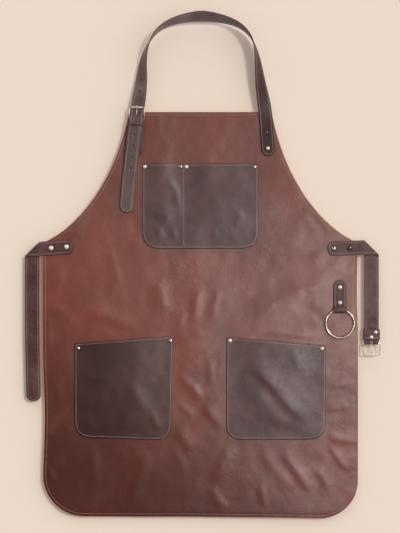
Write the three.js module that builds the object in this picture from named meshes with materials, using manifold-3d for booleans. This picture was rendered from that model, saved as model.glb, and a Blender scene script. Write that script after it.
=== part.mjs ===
// Leather butcher apron: a body panel with three riveted pockets, a buckled neck strap,
// two folded waist straps (one with punched holes, one with a buckle) and a towel ring.
//
// Millimetres, +Z up. The front of the apron faces -Y, and left (-X) and right (+X) are as
// seen from the front. The origin is on the back face of the body panel, at the middle of
// the waist line.
//
// The straps are modelled where the leather bends: the neck strap is split at the top of
// the bib, and each waist strap is split along its diagonal crease, so that the two parts
// can turn about that line.

import * as THREE from 'three';
import { mergeVertices } from 'three/addons/utils/BufferGeometryUtils.js';
import Module from 'manifold-3d';

const wasm = await Module();
wasm.setup();

// ---------------------------------------------------------------- driving dimensions

const GAP = 0.3; // clearance between neighbouring pieces
const CURVE_STEPS = 6;
const ARMHOLE_STEPS = 14;
const HOLE_SIDES = 8;
const STRAP_STEPS = 32;

const PANEL_THICK = 2;
const PANEL_FRONT = -PANEL_THICK; // y of the panel's front face
const PANEL_HALF = 300; // half the width of the skirt
const BIB_HALF = 136; // half the width of the bib's top edge
const PANEL_TOP = 253;
const PANEL_SHOULDER = 3; // height of the corner where the armhole meets the side
const PANEL_BOTTOM = -518;
const HEM_RADIUS = 75;
const ARMHOLE_TOP_PULL = { out: 19, down: 105 }; // how the armhole curve leaves the bib
const ARMHOLE_SIDE_PULL = { in: 88, up: 42 }; // and how it arrives at the side

const POCKET_DEPTH = 6.5;
const POCKET_SKIN = 1.5;
const POCKET_RIM = 9;
const POCKET_FRONT = PANEL_FRONT - POCKET_DEPTH;
const BIB_POCKET = { half: 110.5, top: 155, bottom: -7, radius: 26, seamX: -31.5, seamWidth: 20 };
const HIP_POCKET = { inner: 51.5, outer: 239.5, innerTop: -175, outerTop: -191, bottom: -371 };
const HIP_POCKET_RADIUS = 24;

const STRAP_THICK = 2.6;
const TURNED_THICK = 1.4; // leather thinned down where it folds round a bar
const HOLE_PITCH = 21.4;
const HOLE_RADIUS = 1.6;

const NECK_WIDTH = 25.4;
const NECK_Y = -3.6; // y of the middle of the neck strap where it bends
const NECK_BEND_Z = 270; // height of the line about which the neck loop tilts
const NECK_BEND_ROOM = 2.5; // room left above and below that line for the turning end
const NECK_PRONG_HOLE = 19.6; // distance from that line down to the prong's hole
const NECK_SHOULDER = 0.26; // share of the loop's length from its foot to the shoulder
const NECK_CROWN_ROLL = 140; // degrees that the strap has rolled over at the crown

const CHAPE = { x: -120.6, width: 25, end: 169.5, chamfer: 8, back: PANEL_FRONT - 1.4 };
const NECK_KEEPER = { x: -122.4, bottom: 226.5, top: 238, innerHalf: 15, wall: 1.4 };

const WAIST_WIDTH = 27.5;
const WAIST_TAB_END = 242.5; // distance from the middle to the tab's rounded end
const WAIST_TAB_BACK = PANEL_FRONT - GAP;
const WAIST_TAIL_FRONT = WAIST_TAB_BACK + GAP; // the tail hangs behind the tab
const LEFT_WAIST = { side: -1, tailX: 320, creaseZ: -8, rise: 4.5, tip: -297 };
const RIGHT_WAIST = { side: 1, tailX: 326, creaseZ: -5, rise: -1.5 };
const LEFT_TAIL_FIRST_HOLE = -42.5;
const LEFT_TAIL_HOLES = 11;
const RETURN_END = -158; // top of the short return of the right tail's turned end
const WAIST_KEEPER = { bottom: -180.5, top: -160.5, innerHalf: 14.4, wall: 1.6 };

const BUCKLE = { bore: 1.8, bar: 2.2, innerHalf: 14.4, reach: 22.5, cornerRadius: 3 };
const PRONG = { eye: 2.9, hole: 1.7, inner: 1.4, length: 26, width: 2.6, slot: 5 };
const NECK_HEEL = { x: CHAPE.x, y: CHAPE.back - TURNED_THICK - BUCKLE.bore, z: 239.5 };
const WAIST_TAIL_BACK = WAIST_TAIL_FRONT + STRAP_THICK;
const WAIST_HEEL = {
  x: RIGHT_WAIST.tailX,
  y: WAIST_TAIL_BACK - TURNED_THICK - BUCKLE.bore,
  z: -186.3,
};

const RING_TAB = {
  x: 266, width: 25, top: -67, bore: 4, barZ: -124.1, straight: 3, settle: 10.4,
};
const RING = { radius: 27, wire: 2, drop: 1.5 }; // drop: the wire's crown above the swing axis
const RING_Y = PANEL_FRONT - GAP - TURNED_THICK - RING_TAB.bore;

const RIVET = { shank: 1.5, hole: 1.9, cap: 2.9, capThick: 0.6, seat: 3.3, seatDepth: 0.9 };
const SMALL_HEAD = 3.3;
const RING_HEAD = 3.6;
const LARGE_HEAD = 4.4;

// ---------------------------------------------------------------- materials

function finish(colour, roughness, metalness) {
  return new THREE.MeshStandardMaterial({ color: colour, roughness, metalness });
}

const bodyLeather = finish(0x7d5047, 0.5, 0);
const strapLeather = finish(0x573e3e, 0.6, 0);
const pocketLeather = finish(0x5c4645, 0.6, 0);
const brass = finish(0xb9a078, 0.35, 0.9);
const rivetMetal = finish(0xd9cdb8, 0.3, 0.9);

// ---------------------------------------------------------------- geometry helpers

const degrees = THREE.MathUtils.degToRad;

/** A closed geometry as a solid that can be cut and joined. */
function toSolid(geometry) {
  const bare = geometry.clone();
  bare.deleteAttribute('normal');
  bare.deleteAttribute('uv');
  const merged = mergeVertices(bare, 1e-4);
  return new wasm.Manifold(new wasm.Mesh({
    numProp: 3,
    vertProperties: new Float32Array(merged.attributes.position.array),
    triVerts: new Uint32Array(merged.index.array),
  }));
}

function toGeometry(solid) {
  const mesh = solid.getMesh();
  const geometry = new THREE.BufferGeometry();
  geometry.setAttribute('position', new THREE.BufferAttribute(mesh.vertProperties, 3));
  geometry.setIndex(new THREE.BufferAttribute(mesh.triVerts, 1));
  geometry.computeVertexNormals();
  return geometry;
}

function carve(geometry, cutters) {
  const cut = (solid, cutter) => solid.subtract(toSolid(cutter));
  return toGeometry(cutters.reduce(cut, toSolid(geometry)));
}

function trim(geometry, mask) {
  return toGeometry(toSolid(geometry).intersect(toSolid(mask)));
}

function join(first, second) {
  return toGeometry(toSolid(first).add(toSolid(second)));
}

/** A flat piece with an outline drawn in x and z, from y = back towards the front. */
function slab(outline, back, thick, steps = CURVE_STEPS) {
  const geometry = new THREE.ExtrudeGeometry(outline, {
    depth: thick,
    bevelEnabled: false,
    curveSegments: steps,
  });
  geometry.rotateX(Math.PI / 2);
  geometry.translate(0, back, 0);
  return geometry;
}

/** A piece with a profile drawn in y and z, as wide as `width` about x. */
function sideExtrusion(profile, x, width) {
  const geometry = new THREE.ExtrudeGeometry(profile, {
    depth: width,
    bevelEnabled: false,
    curveSegments: CURVE_STEPS,
  });
  const alongY = new THREE.Vector3(0, 1, 0);
  const alongZ = new THREE.Vector3(0, 0, 1);
  const alongX = new THREE.Vector3(1, 0, 0);
  geometry.applyMatrix4(new THREE.Matrix4().makeBasis(alongY, alongZ, alongX));
  geometry.translate(x - width / 2, 0, 0);
  return geometry;
}

/** A round cutter along y. */
function drill(x, z, radius, front, back) {
  const geometry = new THREE.CylinderGeometry(radius, radius, back - front, HOLE_SIDES);
  geometry.translate(x, (front + back) / 2, z);
  return geometry;
}

/** A polygon with round corners, as an outline. */
function roundedPolygon(corners, radii) {
  const outline = new THREE.Shape();
  corners.forEach((corner, i) => {
    const before = corners[(i + corners.length - 1) % corners.length];
    const after = corners[(i + 1) % corners.length];
    const enter = corner.clone().add(before.clone().sub(corner).setLength(radii[i]));
    const leave = corner.clone().add(after.clone().sub(corner).setLength(radii[i]));
    if (i === 0) outline.moveTo(enter.x, enter.y);
    else outline.lineTo(enter.x, enter.y);
    if (radii[i] > 0) outline.quadraticCurveTo(corner.x, corner.y, leave.x, leave.y);
  });
  outline.closePath();
  return outline;
}

const at = (x, z) => new THREE.Vector2(x, z);

/**
 * The profile of leather turned round a bar, in y and z: a rear layer, a fold round the
 * bar and a front layer that stays straight for a while and then settles on the rear one.
 * `up` is 1 when the fold is the top of the piece and -1 when it is the bottom.
 */
function turnedProfile({ back, bore, barZ, up, end, settle, straight = 0 }) {
  const thick = TURNED_THICK;
  const barY = back - thick - bore;
  const settledInner = back - thick - GAP;
  const settledOuter = settledInner - thick;
  const straightZ = barZ - up * straight;
  const settleZ = barZ - up * settle;
  const profile = new THREE.Shape();
  profile.moveTo(back, end);
  profile.lineTo(back, barZ);
  profile.absarc(barY, barZ, bore + thick, 0, up * Math.PI, up < 0);
  if (straight > 0) profile.lineTo(barY - bore - thick, straightZ);
  profile.lineTo(settledOuter, settleZ);
  profile.lineTo(settledOuter, end);
  profile.lineTo(settledInner, end);
  profile.lineTo(settledInner, settleZ);
  if (straight > 0) profile.lineTo(barY - bore, straightZ);
  profile.lineTo(barY - bore, barZ);
  profile.absarc(barY, barZ, bore, up * Math.PI, 0, up > 0);
  profile.lineTo(back - thick, end);
  profile.closePath();
  return profile;
}

/** The strap's axes at share t of a curve: along it, across its width and out of its face. */
function strapAxes(curve, t, roll) {
  const along = curve.getTangentAt(t);
  const outward = new THREE.Vector3(-along.z, 0, along.x).normalize();
  const front = new THREE.Vector3().crossVectors(along, outward);
  const angle = degrees(roll(t));
  const across = outward.clone().multiplyScalar(Math.cos(angle));
  across.addScaledVector(front, -Math.sin(angle));
  const face = front.clone().multiplyScalar(Math.cos(angle));
  face.addScaledVector(outward, Math.sin(angle));
  return { along, across, face };
}

const noRoll = () => 0;

/** A flat strap bent along a curve. */
function strap(curve, width, steps, roll = noRoll) {
  const geometry = new THREE.BoxGeometry(1, width, STRAP_THICK, steps, 1, 1);
  const position = geometry.attributes.position;
  const corner = new THREE.Vector3();
  for (let i = 0; i < position.count; i++) {
    corner.fromBufferAttribute(position, i);
    const t = THREE.MathUtils.clamp(corner.x + 0.5, 0, 1);
    const { across, face } = strapAxes(curve, t, roll);
    const place = curve.getPointAt(t);
    place.addScaledVector(across, corner.y).addScaledVector(face, corner.z);
    position.setXYZ(i, place.x, place.y, place.z);
  }
  return geometry;
}

/** A round cutter through a bent strap, square to its face. */
function strapDrill(curve, t, roll) {
  const { along, across, face } = strapAxes(curve, t, roll);
  const geometry = new THREE.CylinderGeometry(HOLE_RADIUS, HOLE_RADIUS, 12, HOLE_SIDES);
  geometry.applyMatrix4(new THREE.Matrix4().makeBasis(across, face, along));
  const place = curve.getPointAt(t);
  geometry.translate(place.x, place.y, place.z);
  return geometry;
}

/** A mask that keeps everything above a round end of the given radius. */
function roundEndMask(x, z, radius) {
  const outline = new THREE.Shape();
  outline.moveTo(x - radius, z);
  outline.absarc(x, z, radius, Math.PI, 2 * Math.PI, false);
  outline.lineTo(x + 4 * radius, z + 400);
  outline.lineTo(x - 4 * radius, z + 400);
  outline.closePath();
  return slab(outline, 60, 120);
}

/** A closed band round a strap: its hollow runs along z. */
function band(x, innerHalf, hollowFront, hollowBack, wall, bottom, top) {
  const outer = new THREE.Shape();
  const left = x - innerHalf;
  const right = x + innerHalf;
  outer.moveTo(left - wall, hollowFront - wall);
  outer.lineTo(right + wall, hollowFront - wall);
  outer.lineTo(right + wall, hollowBack + wall);
  outer.lineTo(left - wall, hollowBack + wall);
  outer.closePath();
  const hollow = new THREE.Path();
  hollow.moveTo(left, hollowFront);
  hollow.lineTo(left, hollowBack);
  hollow.lineTo(right, hollowBack);
  hollow.lineTo(right, hollowFront);
  hollow.closePath();
  outer.holes.push(hollow);
  const geometry = new THREE.ExtrudeGeometry(outer, { depth: top - bottom, bevelEnabled: false });
  geometry.translate(0, 0, bottom);
  return geometry;
}

// ---------------------------------------------------------------- rivets

// Each rivet: where it is, the radius of its head, the y of the surface under its head and
// the y of the surface under its cap. A cap in the body panel sits flush in its back face.
const PANEL_CAP_Y = -RIVET.seatDepth;

function rivetRow(name, places, head, surface, capY = PANEL_CAP_Y) {
  return places.map(([x, z], i) => ({ name: `${name}_rivet_${i + 1}`, x, z, head, surface, capY }));
}

const POCKET_RIVET_DROP = 6;
const hipPocketRivets = (side) => [
  [side * (HIP_POCKET.inner + 5.5), HIP_POCKET.innerTop - POCKET_RIVET_DROP - 1],
  [side * (HIP_POCKET.outer - 7.5), HIP_POCKET.outerTop - POCKET_RIVET_DROP],
];
const bibRivetXs = [
  -BIB_POCKET.half + 5,
  BIB_POCKET.seamX - 5.5,
  BIB_POCKET.seamX + 5,
  BIB_POCKET.half - 7,
];
const waistTabRivets = ({ side, creaseZ, rise }) => [
  [side * 284, creaseZ + rise / 2],
  [side * 254.5, creaseZ + rise],
];
const NECK_ANCHOR_RIVETS = [[126.5, 214], [128.8, 184]];
const CHAPE_RIVETS = [[CHAPE.x, 212], [CHAPE.x, 186]];
const RING_TAB_RIVETS = [[RING_TAB.x, -80.5], [RING_TAB.x, -110]];
const WAIST_END_RIVETS = [[RIGHT_WAIST.tailX, -175.5], [RIGHT_WAIST.tailX + 8, -166]];

const settledFront = (back) => back - 2 * TURNED_THICK - GAP;
const WAIST_HOLLOW = { front: settledFront(WAIST_TAIL_BACK) - 0.2, back: WAIST_TAIL_BACK + 0.2 };

const panelRivets = [
  ...rivetRow('bib_pocket', bibRivetXs.map((x) => [x, BIB_POCKET.top - POCKET_RIVET_DROP]),
    SMALL_HEAD, POCKET_FRONT),
  ...rivetRow('left_pocket', hipPocketRivets(-1), SMALL_HEAD, POCKET_FRONT),
  ...rivetRow('right_pocket', hipPocketRivets(1), SMALL_HEAD, POCKET_FRONT),
  ...rivetRow('neck_anchor', NECK_ANCHOR_RIVETS, SMALL_HEAD, NECK_Y - STRAP_THICK / 2),
  ...rivetRow('neck_chape', CHAPE_RIVETS, SMALL_HEAD, settledFront(CHAPE.back)),
  ...rivetRow('left_waist_tab', waistTabRivets(LEFT_WAIST), LARGE_HEAD,
    WAIST_TAB_BACK - STRAP_THICK),
  ...rivetRow('right_waist_tab', waistTabRivets(RIGHT_WAIST), LARGE_HEAD,
    WAIST_TAB_BACK - STRAP_THICK),
  ...rivetRow('ring_tab', RING_TAB_RIVETS, RING_HEAD, settledFront(PANEL_FRONT - GAP)),
];
const waistEndRivets = rivetRow('waist_end', WAIST_END_RIVETS, SMALL_HEAD,
  WAIST_HOLLOW.front - WAIST_KEEPER.wall, WAIST_HOLLOW.back + WAIST_KEEPER.wall);

/** A set rivet: a domed head in front, a shank and a flat cap behind, about its own y axis. */
function rivetGeometry({ head, surface, capY }) {
  const slack = 0.1;
  const capFront = capY - surface + slack;
  const rise = head * 0.45;
  const profile = [
    [0, capFront + RIVET.capThick],
    [RIVET.cap, capFront + RIVET.capThick],
    [RIVET.cap, capFront],
    [RIVET.shank, capFront],
    [RIVET.shank, -slack],
    [head, -slack],
    [head * 0.92, -slack - rise * 0.5],
    [head * 0.6, -slack - rise * 0.85],
    [0, -slack - rise],
  ];
  const points = profile.map(([radius, y]) => new THREE.Vector2(radius, y)).reverse();
  return new THREE.LatheGeometry(points, HOLE_SIDES);
}

const shankHoles = (rivets, front, back) => rivets.map(
  ({ x, z }) => drill(x, z, RIVET.hole, front, back));

const rivetsOf = (name) => panelRivets.filter((rivet) => rivet.name.startsWith(name));

// ---------------------------------------------------------------- body panel and pockets

function bodyPanel() {
  const side = PANEL_HALF;
  const outline = new THREE.Shape();
  outline.moveTo(-BIB_HALF, PANEL_TOP);
  outline.lineTo(BIB_HALF, PANEL_TOP);
  outline.bezierCurveTo(
    BIB_HALF + ARMHOLE_TOP_PULL.out, PANEL_TOP - ARMHOLE_TOP_PULL.down,
    side - ARMHOLE_SIDE_PULL.in, PANEL_SHOULDER + ARMHOLE_SIDE_PULL.up,
    side, PANEL_SHOULDER);
  outline.lineTo(side, PANEL_BOTTOM + HEM_RADIUS);
  outline.absarc(side - HEM_RADIUS, PANEL_BOTTOM + HEM_RADIUS, HEM_RADIUS, 0, -Math.PI / 2, true);
  outline.lineTo(-side + HEM_RADIUS, PANEL_BOTTOM);
  outline.absarc(-side + HEM_RADIUS, PANEL_BOTTOM + HEM_RADIUS, HEM_RADIUS,
    -Math.PI / 2, -Math.PI, true);
  outline.lineTo(-side, PANEL_SHOULDER);
  outline.bezierCurveTo(
    -side + ARMHOLE_SIDE_PULL.in, PANEL_SHOULDER + ARMHOLE_SIDE_PULL.up,
    -BIB_HALF - ARMHOLE_TOP_PULL.out, PANEL_TOP - ARMHOLE_TOP_PULL.down,
    -BIB_HALF, PANEL_TOP);
  const seats = panelRivets.map(({ x, z }) => drill(x, z, RIVET.seat, PANEL_CAP_Y, 1));
  const holes = shankHoles(panelRivets, PANEL_FRONT - 1, 1);
  return carve(slab(outline, 0, PANEL_THICK, ARMHOLE_STEPS), [...holes, ...seats]);
}

/** A pocket: a front skin with a rim on three sides, open at the top. */
function pocketShell(corners, radii, cavities, rivets) {
  const body = slab(roundedPolygon(corners, radii), PANEL_FRONT, POCKET_DEPTH);
  const hollows = cavities.map((cavity) => slab(cavity, PANEL_FRONT + 1,
    POCKET_DEPTH - POCKET_SKIN + 1));
  return carve(body, [...hollows, ...shankHoles(rivets, POCKET_FRONT - 1, PANEL_FRONT + 1)]);
}

function bibPocket() {
  const { half, top, bottom, radius, seamX, seamWidth } = BIB_POCKET;
  const corners = [at(-half, top), at(half, top), at(half, bottom), at(-half, bottom)];
  const cavity = (left, right) => roundedPolygon(
    [at(left, top + 5), at(right, top + 5), at(right, bottom + POCKET_RIM),
      at(left, bottom + POCKET_RIM)],
    [0, 0, radius / 2, radius / 2]);
  const cavities = [
    cavity(-half + POCKET_RIM, seamX - seamWidth / 2),
    cavity(seamX + seamWidth / 2, half - POCKET_RIM - 2),
  ];
  return pocketShell(corners, [0, 0, radius, radius], cavities, rivetsOf('bib_pocket'));
}

function hipPocket(side, name) {
  const { inner, outer, innerTop, outerTop, bottom } = HIP_POCKET;
  const radius = HIP_POCKET_RADIUS;
  const rim = POCKET_RIM + 2;
  const corners = [
    at(side * inner, innerTop),
    at(side * outer, outerTop),
    at(side * outer, bottom),
    at(side * inner, bottom),
  ];
  const cavity = roundedPolygon(
    [at(side * (inner + rim), innerTop + 20), at(side * (outer - rim), innerTop + 20),
      at(side * (outer - rim), bottom + POCKET_RIM), at(side * (inner + rim), bottom + POCKET_RIM)],
    [0, 0, radius / 2, radius / 2]);
  return pocketShell(corners, [0, 0, radius, radius], [cavity], rivetsOf(name));
}

// ---------------------------------------------------------------- neck strap

const neckLoopCurve = new THREE.CatmullRomCurve3([
  new THREE.Vector3(-117.5, NECK_Y, NECK_BEND_Z + NECK_BEND_ROOM),
  new THREE.Vector3(-111.8, -6, 316),
  new THREE.Vector3(-106, -10, 356),
  new THREE.Vector3(-94, -13.5, 391),
  new THREE.Vector3(-66, -13, 421),
  new THREE.Vector3(4, -9, 435.5),
  new THREE.Vector3(72, -13, 420),
  new THREE.Vector3(99, -13.5, 391),
  new THREE.Vector3(107.5, -10, 360),
  new THREE.Vector3(113, -6, 320),
  new THREE.Vector3(120.5, NECK_Y, NECK_BEND_Z + NECK_BEND_ROOM),
]);

/** The strap lies flat at its feet, stands on edge at the shoulders and rolls over on top. */
function neckRoll(t) {
  const fromFoot = Math.min(t, 1 - t);
  if (fromFoot < NECK_SHOULDER) return 90 * fromFoot / NECK_SHOULDER;
  const over = (fromFoot - NECK_SHOULDER) / (0.5 - NECK_SHOULDER);
  return 90 + over * (NECK_CROWN_ROLL - 90);
}

function neckStrapLoop() {
  const length = neckLoopCurve.getLength();
  const holes = [1, 2, 3].map((n) => strapDrill(
    neckLoopCurve, (n * HOLE_PITCH - NECK_BEND_ROOM) / length, neckRoll));
  return carve(strap(neckLoopCurve, NECK_WIDTH, STRAP_STEPS, neckRoll), holes);
}

/** The right end of the neck strap, riveted to the bib. */
function neckStrapAnchor() {
  const end = at(129.3, 183);
  const curve = new THREE.CatmullRomCurve3([
    new THREE.Vector3(130.5, NECK_Y, 168),
    new THREE.Vector3(126.5, NECK_Y, 214),
    new THREE.Vector3(121.5, NECK_Y, NECK_BEND_Z - NECK_BEND_ROOM),
  ]);
  const whole = strap(curve, NECK_WIDTH, STRAP_STEPS / 4);
  const ended = trim(whole, roundEndMask(end.x, end.y, NECK_WIDTH / 2 + 0.1));
  return carve(ended, shankHoles(rivetsOf('neck_anchor'), -10, 0));
}

/** The left end of the neck strap: through the buckle, over the bar and down to its tip. */
function neckStrapTail() {
  const tip = at(-140.2, 75);
  const curve = new THREE.CatmullRomCurve3([
    new THREE.Vector3(-141, -5, 60),
    new THREE.Vector3(-136.8, -6.5, 115),
    new THREE.Vector3(-131, -9, 165),
    new THREE.Vector3(-127, -9.9, 200),
    new THREE.Vector3(-123.5, -11.3, 227),
    new THREE.Vector3(-121.6, -11.5, 241),
    new THREE.Vector3(-119.7, -3.9, 256.5),
    new THREE.Vector3(-118, NECK_Y, NECK_BEND_Z - NECK_BEND_ROOM),
  ]);
  const whole = strap(curve, NECK_WIDTH, STRAP_STEPS);
  const ended = trim(whole, roundEndMask(tip.x, tip.y, NECK_WIDTH / 2 + 0.1));
  const holes = [4, 5, 6, 7, 8].map((n) => {
    const drop = NECK_PRONG_HOLE + (n - 3) * HOLE_PITCH - NECK_BEND_ROOM;
    return strapDrill(curve, 1 - drop / curve.getLength(), noRoll);
  });
  const prongSlot = new THREE.BoxGeometry(PRONG.slot, 20, 14);
  prongSlot.translate(NECK_HEEL.x, NECK_HEEL.y, 249);
  return carve(ended, [...holes, prongSlot]);
}

function prongSlotAt({ x, y, z }, up) {
  const geometry = new THREE.BoxGeometry(PRONG.slot, 20, 18);
  geometry.translate(x, y, z + up * 1.5);
  return geometry;
}

/** The short strap turned round the heel bar of the neck buckle and riveted to the bib. */
function neckChape() {
  const { x, width, end, chamfer, back } = CHAPE;
  const profile = turnedProfile({
    back, bore: BUCKLE.bore, barZ: NECK_HEEL.z, up: 1, end, settle: 14,
  });
  const half = width / 2;
  const top = NECK_HEEL.z + 10;
  const outline = new THREE.Shape();
  outline.moveTo(x - half, top);
  outline.lineTo(x + half, top);
  outline.lineTo(x + half, end + chamfer);
  outline.lineTo(x + half - chamfer, end);
  outline.lineTo(x - half + chamfer, end);
  outline.lineTo(x - half, end + chamfer);
  outline.closePath();
  const folded = trim(sideExtrusion(profile, x, width + 2), slab(outline, 10, 40));
  return carve(folded, [prongSlotAt(NECK_HEEL, 1), ...shankHoles(rivetsOf('neck_chape'), -10, 0)]);
}

function neckKeeper() {
  const { x, bottom, top, innerHalf, wall } = NECK_KEEPER;
  return band(x, innerHalf, -13.3, CHAPE.back + 0.1, wall - 0.5, bottom, top);
}

// ---------------------------------------------------------------- buckles

/** A buckle frame about its heel bar: the frame reaches up from the bar. */
function buckleFrame() {
  const { bar, innerHalf, reach, cornerRadius } = BUCKLE;
  const outerHalf = innerHalf + bar;
  const low = -bar / 2;
  const high = reach + bar / 2;
  const outline = roundedPolygon(
    [at(-outerHalf, high), at(outerHalf, high), at(outerHalf, low), at(-outerHalf, low)],
    [cornerRadius, cornerRadius, cornerRadius, cornerRadius]);
  const window = roundedPolygon(
    [at(-innerHalf, low + bar), at(innerHalf, low + bar), at(innerHalf, high - bar),
      at(-innerHalf, high - bar)],
    [1, 1, 1, 1]);
  outline.holes.push(window);
  return slab(outline, bar / 2, bar);
}

/** A prong about the heel bar: an eye round the bar and an arm in front of the frame. */
function buckleProng() {
  const { eye, hole, inner, length, width } = PRONG;
  const rootZ = Math.sqrt(eye * eye - inner * inner);
  const profile = new THREE.Shape();
  profile.moveTo(-eye, 0);
  profile.lineTo(-eye, length);
  profile.lineTo(-inner, length);
  profile.lineTo(-inner, rootZ);
  profile.absarc(0, 0, eye, Math.PI - Math.atan2(rootZ, inner), -Math.PI, true);
  const bore = new THREE.Path();
  bore.absarc(0, 0, hole, 0, 2 * Math.PI, false);
  profile.holes.push(bore);
  return sideExtrusion(profile, 0, width);
}

// ---------------------------------------------------------------- waist straps

/** The riveted tab, from its round end on the panel to the diagonal crease. */
function waistTab(waist, name) {
  const { side, tailX, creaseZ, rise } = waist;
  const half = WAIST_WIDTH / 2;
  const endX = side * (WAIST_TAB_END + half);
  const endZ = creaseZ + rise;
  const creaseIn = GAP * Math.SQRT2;
  const start = Math.PI / 2;
  const outline = new THREE.Shape();
  outline.moveTo(side * (tailX - half - creaseIn), creaseZ + half);
  outline.lineTo(endX, endZ + half);
  outline.absarc(endX, endZ, half, start, side > 0 ? start + Math.PI : start - Math.PI, side < 0);
  outline.lineTo(side * (tailX + half - creaseIn), creaseZ - half);
  outline.closePath();
  const front = WAIST_TAB_BACK - STRAP_THICK - 1;
  return carve(slab(outline, WAIST_TAB_BACK, STRAP_THICK),
    shankHoles(rivetsOf(name), front, WAIST_TAB_BACK + 1));
}

/** The hanging tail of a waist strap, from the crease down to `bottom`. */
function tailOutline({ side, tailX, creaseZ }, bottom, bottomRadius) {
  const half = WAIST_WIDTH / 2;
  const x = side * tailX;
  const creaseDrop = GAP * Math.SQRT2;
  const outline = new THREE.Shape();
  outline.moveTo(x - side * half, creaseZ + half - creaseDrop);
  outline.lineTo(x + side * half, creaseZ - half - creaseDrop);
  outline.lineTo(x + side * half, bottom + bottomRadius);
  if (bottomRadius > 0) {
    const start = side > 0 ? 0 : Math.PI;
    outline.absarc(x, bottom + bottomRadius, half, start, side > 0 ? -Math.PI : 2 * Math.PI,
      side > 0);
  }
  outline.lineTo(x - side * half, bottom + bottomRadius);
  outline.closePath();
  return outline;
}

function leftWaistTail() {
  const outline = tailOutline(LEFT_WAIST, LEFT_WAIST.tip, WAIST_WIDTH / 2);
  const holes = [];
  for (let n = 0; n < LEFT_TAIL_HOLES; n++) {
    const z = LEFT_TAIL_FIRST_HOLE - n * HOLE_PITCH;
    holes.push(drill(-LEFT_WAIST.tailX, z, HOLE_RADIUS, -10, 10));
  }
  return carve(slab(outline, WAIST_TAIL_BACK, STRAP_THICK), holes);
}

/** The right tail ends in a thinned turn round the heel bar of the waist buckle. */
function rightWaistTail() {
  const flat = slab(tailOutline(RIGHT_WAIST, RETURN_END + GAP, 0), WAIST_TAIL_BACK, STRAP_THICK);
  const turned = sideExtrusion(turnedProfile({
    back: WAIST_TAIL_BACK, bore: BUCKLE.bore, barZ: WAIST_HEEL.z, up: -1, end: RETURN_END,
    settle: 5.5,
  }), RIGHT_WAIST.tailX, WAIST_WIDTH);
  const rear = new THREE.BoxGeometry(WAIST_WIDTH, TURNED_THICK, 20);
  rear.translate(RIGHT_WAIST.tailX, WAIST_TAIL_BACK - TURNED_THICK / 2, RETURN_END);
  return carve(join(join(flat, rear), turned),
    [prongSlotAt(WAIST_HEEL, 1), ...shankHoles(waistEndRivets, -20, 20)]);
}

function waistKeeper() {
  const { bottom, top, innerHalf, wall } = WAIST_KEEPER;
  const loop = band(RIGHT_WAIST.tailX, innerHalf, WAIST_HOLLOW.front, WAIST_HOLLOW.back, wall,
    bottom, top);
  return carve(loop, shankHoles(waistEndRivets, -20, 20));
}

// ---------------------------------------------------------------- towel ring

function ringTab() {
  const { x, width, top, bore, barZ, straight, settle } = RING_TAB;
  const half = width / 2;
  const profile = turnedProfile({
    back: PANEL_FRONT - GAP, bore, barZ, up: -1, end: top, settle, straight,
  });
  const outline = new THREE.Shape();
  outline.moveTo(x - half, barZ - 20);
  outline.lineTo(x + half, barZ - 20);
  outline.lineTo(x + half, top - half);
  outline.absarc(x, top - half, half, 0, Math.PI, false);
  outline.closePath();
  const folded = trim(sideExtrusion(profile, x, width + 2), slab(outline, 10, 40));
  return carve(folded, shankHoles(rivetsOf('ring_tab'), -10, 0));
}

function towelRing() {
  const geometry = new THREE.TorusGeometry(RING.radius, RING.wire, 8, 32);
  geometry.rotateX(Math.PI / 2);
  return geometry;
}

// ---------------------------------------------------------------- the apron

const apron = new THREE.Group();

function place(name, geometry, material, position = [0, 0, 0], turnX = 0) {
  const mesh = new THREE.Mesh(geometry, material.clone());
  mesh.name = name;
  mesh.position.set(...position);
  mesh.rotation.x = turnX;
  apron.add(mesh);
}

place('body_panel', bodyPanel(), bodyLeather);
place('bib_pocket', bibPocket(), pocketLeather);
place('left_pocket', hipPocket(-1, 'left_pocket'), pocketLeather);
place('right_pocket', hipPocket(1, 'right_pocket'), pocketLeather);

place('neck_strap_loop', neckStrapLoop(), strapLeather);
place('neck_strap_anchor', neckStrapAnchor(), strapLeather);
place('neck_strap_tail', neckStrapTail(), strapLeather);
place('neck_chape', neckChape(), strapLeather);
place('neck_keeper', neckKeeper(), strapLeather);
place('neck_buckle_frame', buckleFrame(), brass, [NECK_HEEL.x, NECK_HEEL.y, NECK_HEEL.z]);
place('neck_buckle_prong', buckleProng(), brass, [NECK_HEEL.x, NECK_HEEL.y, NECK_HEEL.z]);

place('left_waist_tab', waistTab(LEFT_WAIST, 'left_waist_tab'), strapLeather);
place('left_waist_tail', leftWaistTail(), strapLeather);
place('right_waist_tab', waistTab(RIGHT_WAIST, 'right_waist_tab'), strapLeather);
place('right_waist_tail', rightWaistTail(), strapLeather);
place('waist_keeper', waistKeeper(), strapLeather);
const waistHeel = [WAIST_HEEL.x, WAIST_HEEL.y, WAIST_HEEL.z];
place('waist_buckle_frame', buckleFrame(), brass, waistHeel, Math.PI);
place('waist_buckle_prong', buckleProng(), brass, waistHeel, Math.PI);

place('ring_tab', ringTab(), strapLeather);
const ringCentreZ = RING_TAB.barZ + RING.drop - RING.radius;
place('towel_ring', towelRing(), brass, [RING_TAB.x, RING_Y, ringCentreZ]);

for (const rivet of [...panelRivets, ...waistEndRivets]) {
  place(rivet.name, rivetGeometry(rivet), rivetMetal, [rivet.x, rivet.surface, rivet.z]);
}

export default apron;
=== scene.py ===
"""The looks of a leather butcher apron, built around its CAD frame.

Lengths in this script are millimetres until a mesh is made. +Z is up, the apron faces -Y,
and left (-X) and right (+X) are as seen from the front. Flat pieces are drawn in x and z and
have a height that grows towards the front. Straps are drawn flat, as a distance s along the
strap, a distance w across it and a height h out of its face, and then bent into place.
"""

import math

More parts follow.
